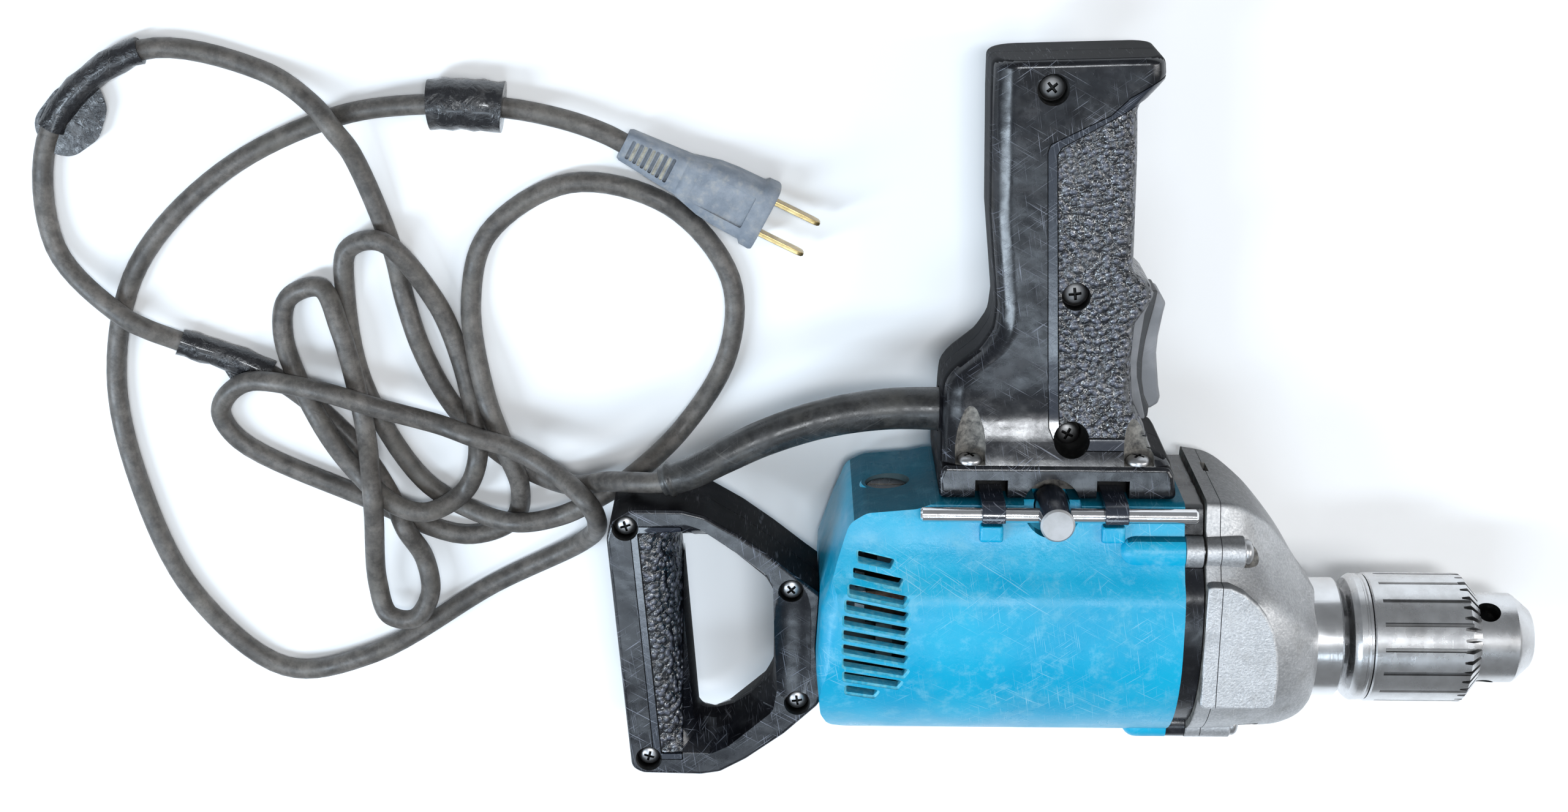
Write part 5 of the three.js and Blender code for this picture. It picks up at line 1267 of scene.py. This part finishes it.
def make_grip():
    body = grip_body("grip")
    trimmed_panel(body, grip_body, STRIP_INNER, STRIP_OUTER, STRIP_CORNER)
    half = FLANGE_SHAPE["half"]
    join(body, slab("flange", FLANGE, -half, half, FLANGE_SHAPE["corner"], FLANGE_SHAPE["edge"]))
    cuts = [counterbore(x, y, GRIP_BORE, GRIP["half"]) for x, y, _ in GRIP_SCREWS[:-1]]
    cuts.append(deep_bore())
    cuts += [screw_channel(x, sign) for x in BASE_SCREW_X for sign in NEAR_AND_FAR]
    cuts += [block(*TRIGGER_POCKET, 3), block(*TRIGGER_MOUTH, 3)]
    for back in STRAP_BACKS:
        x = (back - NOTCH["past"], back + STRAP_WIDTH + NOTCH["past"])
        for sign in NEAR_AND_FAR:
            cuts.append(block(x, NOTCH["y"], on_side(sign, NOTCH["inner"], NOTCH["outer"]), 3))
    cuts.append(rod(ARCH["back"], ARCH["front"], ARCH["radius"], "Z", (KEY["x"], KEY["y"], 0), 64, 2))
    way = CORD_WAY
    cuts.append(rod(way["back"], way["front"], way["radius"], "X", (0, way["y"], 0), 40, 3))
    cut(body, *cuts)
    cut(body, grip_cavity())
    finish_halves(body, "grip_half", "grip", "black")


def make_trigger():
    halves = TRIGGER_HALVES
    pad = slab("trigger_lever", TRIGGER_PAD, -halves["pad"], halves["pad"], 2.0, 1.2)
    middle = slab("middle", TRIGGER_MIDDLE, -halves["middle"], halves["middle"], 0.8, 0.6, 2)
    plate = slab("plate", TRIGGER_PLATE, -halves["plate"], halves["plate"], 0.8, 0.5)
    join(pad, middle, plate, block(*TRIGGER_STEM, 1))
    finish(pad, "trigger", ["grey", "black", "dark_grey"], body="trigger_body", smooth=30)


# D-handle
def opening_cutter(shrink, paint):
    """The hand opening, which widens from the middle to both faces in a round throat."""
    half = HANDLE["half"] - shrink
    middle = rounded(OPENING_MIDDLE, OPENING["middle_corner"], -shrink, 4)
    face = rounded(OPENING_FACE, OPENING["face_corner"], -shrink, 4)
    curl_x, lean_x = OPENING["curl_x"], OPENING["lean_x"]
    heights = [half * math.sin(QUARTER * i / OPENING["steps"]) for i in range(OPENING["steps"] + 1)]
    levels = [(-height, height) for height in reversed(heights[1:])]
    levels += [(height, height) for height in heights]
    past = half + OPENING["past"]
    rings = []
    for z, height in [(-past, half), *levels, (past, half)]:
        share = height / half
        curl, lean = 1 - math.sqrt(max(0.0, 1 - share ** 2)), share ** OPENING["lean"]
        ring = []
        for (ax, ay), (bx, by) in zip(middle, face):
            toward_lean = min(max((ax - curl_x) / (lean_x - curl_x), 0.0), 1.0)
            weight = curl + (lean - curl) * toward_lean
            ring.append((ax + (bx - ax) * weight, ay + (by - ay) * weight, z))
        rings.append(ring)
    return loft("opening", rings, paint)


def handle_body(name, shrink=0.0, paint=0):
    half = HANDLE["half"] - shrink
    body = slab(name, inset(HANDLE_OUTER, shrink), -half, half, HANDLE["corner"], HANDLE["edge"], paint)
    return cut(body, opening_cutter(shrink, paint))


def neck_scoop(sign):
    """The round hollow across the handle's neck, on one face."""
    turns = [QUARTER * i / 10 for i in range(11)]
    dome = []
    for turn in turns:
        distance = -SCOOP["length"] + SCOOP["bend"] * (1 - math.cos(turn))
        dome.append((distance, SCOOP["radius"] + SCOOP["belly"] * math.sin(turn)))
    profile = [*dome, *[(-distance, radius) for distance, radius in reversed(dome)]]
    return spun("scoop", profile, "Y", (SCOOP["x"], SCOOP["y"], sign * SCOOP["z"]), 96)


def sleeve_way():
    """The room that the guard sleeve needs where it passes the handle."""
    def shape(share):
        return round_shape(SLEEVE_WAY["start"] - SLEEVE_WAY["taper"] * share)

    return loft("way", rings_along(centripetal(lifted(GUARD_POINTS), 8), shape))


def make_handle():
    body = handle_body("handle")
    trimmed_panel(body, handle_body, HANDLE_ZONE, HANDLE_RIDGE, HANDLE_CORNER)
    cuts = [counterbore(x, y, HANDLE_BORE, HANDLE["half"]) for x, y in HANDLE_SCREWS]
    cuts += [neck_scoop(sign) for sign in NEAR_AND_FAR]
    cuts.append(slab("gap", inset(HOUSING_SIDE, -HANDLE["gap"]), *WIDE, HOUSING["corner"]))
    cut(body, *cuts)
    cut(body, sleeve_way())
    finish_halves(body, "rear_handle_half", "handle", "handle")


# Chuck
def outward(angle):
    """A direction square to the spindle."""
    return Vector((0, math.cos(angle), math.sin(angle)))


def jaw_rod(index, ahead, length, radius, paint=0):
    out = outward(FIRST_KEY_HOLE + TURN * (index + 0.5) / JAWS)
    along = Vector((math.cos(JAW["lean"]), 0, 0)) - out * math.sin(JAW["lean"])
    side = along.cross(out).normalized()
    tip = Vector((JAW["tip_x"], 0, 0)) + out * JAW["tip_radius"]
    profile = [(ahead - length, radius), (ahead - JAW["end"], radius), (ahead, radius - JAW["bevel"])]
    return spun("jaw", profile, (along, side.cross(along), side), tip, 24, paint)


def make_chuck():
    body = spun("chuck_core", CHUCK_BODY, "X", (0, 0, 0), 96)
    cuts = [spun("bit_hole", BIT_HOLE, "X", (0, 0, 0), 48, 1)]
    for i in range(JAWS):
        out, along = outward(FIRST_KEY_HOLE + TURN * i / JAWS), Vector((1, 0, 0))
        cuts.append(spun("key_hole", KEY_HOLE, (out, along, out.cross(along)), (KEY_HOLE_X, 0, 0), 40, 1))
        cuts.append(jaw_rod(i, JAW_WAY["ahead"], JAW_WAY["length"], JAW["radius"] + JAW_WAY["fit"], 1))
    cut(body, *cuts)
    finish(body, "chuck_body", ["chuck", "shade"], body="spindle_group", smooth=24)


def make_jaws():
    for i, body in enumerate(("jaw_a", "jaw_b", "jaw_c")):
        jaw = jaw_rod(i, 0, JAW["length"], JAW["radius"])
        jaw.name = f"gripping_jaw_{i + 1}"
        finish(jaw, f"jaw_{i + 1}", ["nickel"], body=body)


def sleeve_groove(index):
    angle = TURN * (index + 0.5) / GROOVE["count"]
    out, side = outward(angle), outward(angle + QUARTER)
    rings = []
    for x in (GROOVE["back"], GROOVE["front"]):
        rings.append([Vector((x, 0, 0)) + side * a + out * (SLEEVE["radius"] + b) for a, b in GROOVE_RING])
    return loft("groove", rings, 1)


def tooth_gap(index):
    """The gap between two teeth on the sleeve's bevel, narrower toward the front."""
    angle = TURN * index / TOOTH["count"]
    out, side = outward(angle), outward(angle + QUARTER)
    run, rise = SLEEVE["front"] - SLEEVE["bevel"], SLEEVE["radius"] - SLEEVE["tip"]
    length = math.hypot(run, rise)
    slope = Vector((run / length, 0, 0)) - out * (rise / length)
    face = Vector((rise / length, 0, 0)) + out * (run / length)
    start = Vector((SLEEVE["bevel"] - TOOTH["behind"], 0, 0)) + out * (SLEEVE["radius"] + TOOTH["above"])
    rings = []
    for distance in (TOOTH["back"], length + TOOTH["past"]):
        wide = TOOTH["wide"] - TOOTH["taper"] * distance
        rings.append([start + slope * distance + side * a * wide + face * b for a, b in TOOTH_RING])
    return loft("tooth_gap", rings, 1)


def make_sleeve():
    back, front, radius, bevel = [SLEEVE[key] for key in ("back", "front", "radius", "bevel")]
    edge, corner, neck = SLEEVE["round"], SLEEVE["corner"], SLEEVE["neck"]
    profile = [
        (back, neck), (back, radius - edge), (back + edge, radius), (bevel, radius),
        (bevel + corner, radius - corner), (front, SLEEVE["tip"]), (front, neck),
    ]
    sleeve = spun("chuck_shell", profile, "X", (0, 0, 0), 160)
    cuts = [rod(back - 1, front + 1, SLEEVE["bore"], "X", (0, 0, 0), 96, 1)]
    cuts.append(spun("jaw_room", JAW_ROOM, "X", (0, 0, 0), 96, 1))
    cuts += [sleeve_groove(i) for i in range(GROOVE["count"])]
    cuts += [tooth_gap(i) for i in range(TOOTH["count"])]
    cut(sleeve, *cuts)
    finish(sleeve, "chuck_sleeve", ["chuck", "dark_steel"], body="sleeve", smooth=24)


# Chuck key and its straps
def make_key():
    top, radius, place = KEY["top"], KEY["radius"], (KEY["x"], KEY["y"], 0)
    step, shaft = KEY["step"], KEY["shaft"]
    profile = [
        (KEY["tip"], shaft - 0.6), (KEY["tip"] + 0.6, shaft), (step, shaft), (step + 0.2, radius - 0.5),
        (step + 0.8, radius), (top - KEY_ROUND, radius), (top, radius - KEY_ROUND),
    ]
    key = spun("key_shaft", profile, "Z", place, 56)
    face_profile = [(top - 0.3, KEY["face"]), (top - 0.02, KEY["face"] + 0.05), (top, KEY["face"] - 0.2)]
    face = spun("face", face_profile, "Z", place, 56, 1)
    back, front, thick = KEY_BAR["back"], KEY_BAR["front"], KEY_BAR["radius"]
    thin = thick - KEY_ROUND
    bar_profile = [(back, thin), (back + KEY_ROUND, thick), (front - KEY_ROUND, thick), (front, thin)]
    join(key, spun("cross_bar", bar_profile, "X", (0, KEY["y"], KEY_BAR["z"]), 40, 2), face)
    for polygon in key.data.polygons:
        if polygon.center.z > top - 0.9 and abs(polygon.center.x - KEY["x"]) < 6:
            polygon.material_index = 1
    finish(key, "chuck_key", ["gloss", "key_face", "chrome"], smooth=35)


def strap_outline():
    """A leg from the grip and a clip round the bar of the key, as (y, z) points."""
    inner = KEY_BAR["radius"] + STRAP_FIT
    outer = inner + STRAP_THICK
    y, z = KEY["y"], KEY_BAR["z"]
    turns = [-STRAP_BEND + 2 * STRAP_BEND * i / 20 for i in range(21)]

    def arc(radius, angles):
        return [(y + radius * math.cos(angle), z + radius * math.sin(angle)) for angle in angles]

    outside = arc(outer, [angle for angle in turns if angle > -0.05])
    behind = arc(outer, [angle for angle in turns if angle < -1.0])
    inside = arc(inner, reversed(turns))
    foot = [(y + inner, z - outer - 0.6), (y + inner, STRAP_LEG)]
    return [(y + outer, STRAP_LEG), *outside, *inside, *behind, *foot]


def make_straps():
    ends = [*STRAP_EDGES, *[(STRAP_WIDTH - x, shrink) for x, shrink in reversed(STRAP_EDGES)]]
    for i, back in enumerate(STRAP_BACKS):
        rings = [[(back + x, y, z) for y, z in inset(strap_outline(), shrink)] for x, shrink in ends]
        finish(loft(f"key_clip_{i + 1}", rings), f"key_strap_{i + 1}", ["gloss"], smooth=40)


# Plug
def plug_frame():
    """The plug's start, its length, and its directions along, across and up."""
    (x0, y0), (x1, y1) = PLUG["back"], PLUG["front"]
    line = Vector((x1 - x0, y1 - y0, 0))
    along = line.normalized()
    axes = (along, Vector((-along.y, along.x, 0)), Vector((0, 0, 1)))
    return Vector((x0, y0, PLUG["height"] - TABLE)), line.length, axes


def plug_point(s, a, h):
    start, _, (along, across, up) = plug_frame()
    return start + along * s + across * a + up * h


def plug_pocket(sign, first, last, half, depth, paint):
    """A pocket in the plug's upper or lower face, down to a depth from its middle."""
    outline = rounded([(first, -half), (last, -half), (last, half), (first, half)], PLUG["corner"], 0, 4)
    levels = on_side(sign, depth, PLUG["cut_out"])
    return loft("pocket", [[plug_point(a, b, level) for a, b in outline] for level in levels], paint)


def plug_cuts(sign, length):
    cuts = []
    for i in range(PLUG_SLOT["count"]):
        middle = PLUG_SLOT["first"] + PLUG_SLOT["pitch"] * i
        first, last = middle - PLUG_SLOT["wide"], middle + PLUG_SLOT["wide"]
        half = PLUG_SLOT["half"] + PLUG_SLOT["growth"] * i
        cuts.append(plug_pocket(sign, first, last, half, PLUG_SLOT["depth"], 0))
        if i < PLUG_SLOT["count"] - 1:
            first, last = middle + PLUG_DUST["from"], middle + PLUG_DUST["to"]
            cuts.append(plug_pocket(sign, first, last, half, PLUG_DUST["depth"] + PLUG_DUST["growth"] * i, 1))
    first, last = PLUG_PANEL["from"] * length, PLUG_PANEL["to"] * length
    cuts.append(plug_pocket(sign, first, last, PLUG_PANEL["half"], PLUG_PANEL["depth"], 2))
    edge = PLUG_PANEL["edge_from"] * length
    cuts.append(plug_pocket(sign, edge, first, PLUG_PANEL["half"], PLUG_PANEL["edge_depth"], 1))
    return cuts


def make_plug():
    start, length, axes = plug_frame()
    sides = 48
    rings = []
    for share, wide, high in PLUG_SHAPE:
        ring = []
        for i in range(sides):
            a, h = math.cos(TURN * (i + 0.5) / sides), math.sin(TURN * (i + 0.5) / sides)
            a, h = [math.copysign(abs(part) ** PLUG["square"], part) for part in (a, h)]
            ring.append(plug_point(share * length, wide * a, high * h))
        rings.append(ring)
    plug = loft("plug_moulding", rings)
    socket = rod(PLUG_SOCKET["from"], PLUG_SOCKET["to"], PLUG_SOCKET["radius"], axes, start, 32)
    cut(plug, *plug_cuts(1, length), *plug_cuts(-1, length), socket)
    return finish(plug, "plug_body", ["plug", "plug_dust", "plug_grain"], smooth=35)


def make_blades():
    blades = []
    for name, sign in (("left", 1), ("right", -1)):
        rings = []
        for share, trim in BLADE_STATIONS:
            sway = sign * BLADE["spacing"] / 2 + BLADE["splay"] * max(share, 0)
            thick = BLADE["thick"] / 2 - (BLADE["thinner"] if trim > 1 else 0)
            wide = BLADE["width"] / 2 - trim
            corners = [(-thick, -wide), (thick, -wide), (thick, wide), (-thick, wide)]
            outline = rounded(corners, BLADE["corner"], 0, 2)
            along = plug_frame()[1] + BLADE["length"] * share
            rings.append([plug_point(along, sway + a, h) for a, h in outline])
        blade = loft(f"contact_blade_{name}", rings)
        blades.append(finish(blade, f"plug_blade_{name}", ["brass"], smooth=40))
    return blades


# Tape
def wrap_line(first, steps=10):
    """The cord's line between one of its points and the next."""
    points = lifted(CORD_POINTS)
    return centripetal(points[first - 1:first + 3], steps)[steps:2 * steps + 1]


def make_tape(name, size):
    line = wrap_line(size["first"])

    def shape(share):
        ring = []
        for i in range(28):
            angle = TURN * i / 28
            wave = 0.16 * math.sin(5 * angle + 40 * share) + 0.12 * math.sin(3 * angle - 23 * share)
            reach = size["radius"] + wave + (0.25 if int(share * 5) % 2 else 0.0)
            ring.append((reach * math.cos(angle), reach * math.sin(angle)))
        return ring

    tape = loft(f"tape_wrap_{name}", rings_along(line, shape))
    if "flag" in size:
        join(tape, tape_flag(size["flag"], line[len(line) // 2].z))
    return finish(tape, f"tape_{name}", ["tape"], smooth=50)


def tape_flag(outline, z):
    """A loose end of tape, which lifts a little toward its edge."""
    level = rounded(outline, FLAG["corner"], 0, 6)
    centre = Vector([sum(part) / len(level) for part in zip(*level)])
    rings = []
    for lift in (-FLAG["half"], FLAG["half"]):
        curls = [FLAG["curl"] * ((Vector(point) - centre).length - FLAG["flat"]) for point in level]
        rings.append([(x, y, z + lift + curl) for (x, y), curl in zip(level, curls)])
    return loft("flag", rings)


def make_pieces():
    guard, plug, blades = make_guard(), make_plug(), make_blades()
    tapes = [make_tape(*tape) for tape in (("long", TAPE_LONG), ("short", TAPE_SHORT), ("roll", TAPE_ROLL))]
    make_cord()
    make_housing()
    make_brush_caps()
    make_plate()
    make_case()
    make_grip()
    make_trigger()
    make_handle()
    make_screws()
    make_chuck()
    make_jaws()
    make_sleeve()
    make_key()
    make_straps()


make_pieces()

# The remaining solids keep their own shapes
NODE_MATERIALS = {
    "polished": (
        "armature_shaft", "bearing_front", "bearing_rear", "idler_shaft", "spindle", "bearing_spindle",
    ),
    "dark_steel": ("stator", "armature_core", "idler_gear", "spindle_gear"),
    "varnish": ("field_coil_near", "field_coil_far"),
    "copper": ("commutator",),
    "black": ("fan", "switch_body"),
    "vent": ("brush_upper", "brush_lower"),
}


def dress_nodes():
    for material, names in NODE_MATERIALS.items():
        for name in names:
            node = bpy.data.objects[name]
            node.data.materials.clear()
            node.data.materials.append(MATERIALS[material])
            node.data.shade_smooth()
            node.data.set_sharp_from_angle(angle=math.radians(35))


dress_nodes()
for made in PAINTS:
    bpy.data.materials.remove(made)


# Floor and light
def make_floor():
    size = 4.0
    mesh = bpy.data.meshes.new("floor")
    corners = [(-size, -size, 0), (size, -size, 0), (size, size, 0), (-size, size, 0)]
    mesh.from_pydata(corners, [], [(0, 1, 2, 3)])
    floor = bpy.data.objects.new("floor", mesh)
    bpy.context.scene.collection.objects.link(floor)
    mesh.materials.append(Recipe("pale_floor", (0.94, 0.94, 0.94), 0.8).done())


def area_light(name, place, target, size, energy, colour=(1, 1, 1)):
    data = bpy.data.lights.new(name, "AREA")
    data.shape = "RECTANGLE"
    data.size, data.size_y = size
    data.energy = energy
    data.color = colour
    light = bpy.data.objects.new(name, data)
    bpy.context.scene.collection.objects.link(light)
    direction = Vector(target) - Vector(place)
    light.matrix_world = Matrix.Translation(place) @ direction.to_track_quat("-Z", "Y").to_matrix().to_4x4()


def make_light():
    world = bpy.data.worlds.new("studio")
    world.use_nodes = True
    background = world.node_tree.nodes["Background"]
    background.inputs["Color"].default_value = (0.9, 0.95, 1.0, 1)
    background.inputs["Strength"].default_value = 0.28
    bpy.context.scene.world = world
    bpy.context.scene.view_settings.view_transform = "Standard"
    bluish = (0.74, 0.87, 1)
    area_light("overhead", (0.03, 0.42, 1.7), (-0.1, 0, 0), (0.4, 0.16), 12, (0.92, 0.96, 1))
    area_light("front", (-0.1, -0.55, 1.6), (-0.1, 0, 0), (0.8, 0.26), 6, bluish)
    area_light("left", (-1.0, -0.3, 0.8), (-0.05, 0.1, 0.04), (0.2, 1.0), 14, bluish)
    area_light("right", (1.1, 0.1, 0.9), (0, 0, 0), (0.25, 0.9), 8)


make_floor()
make_light()
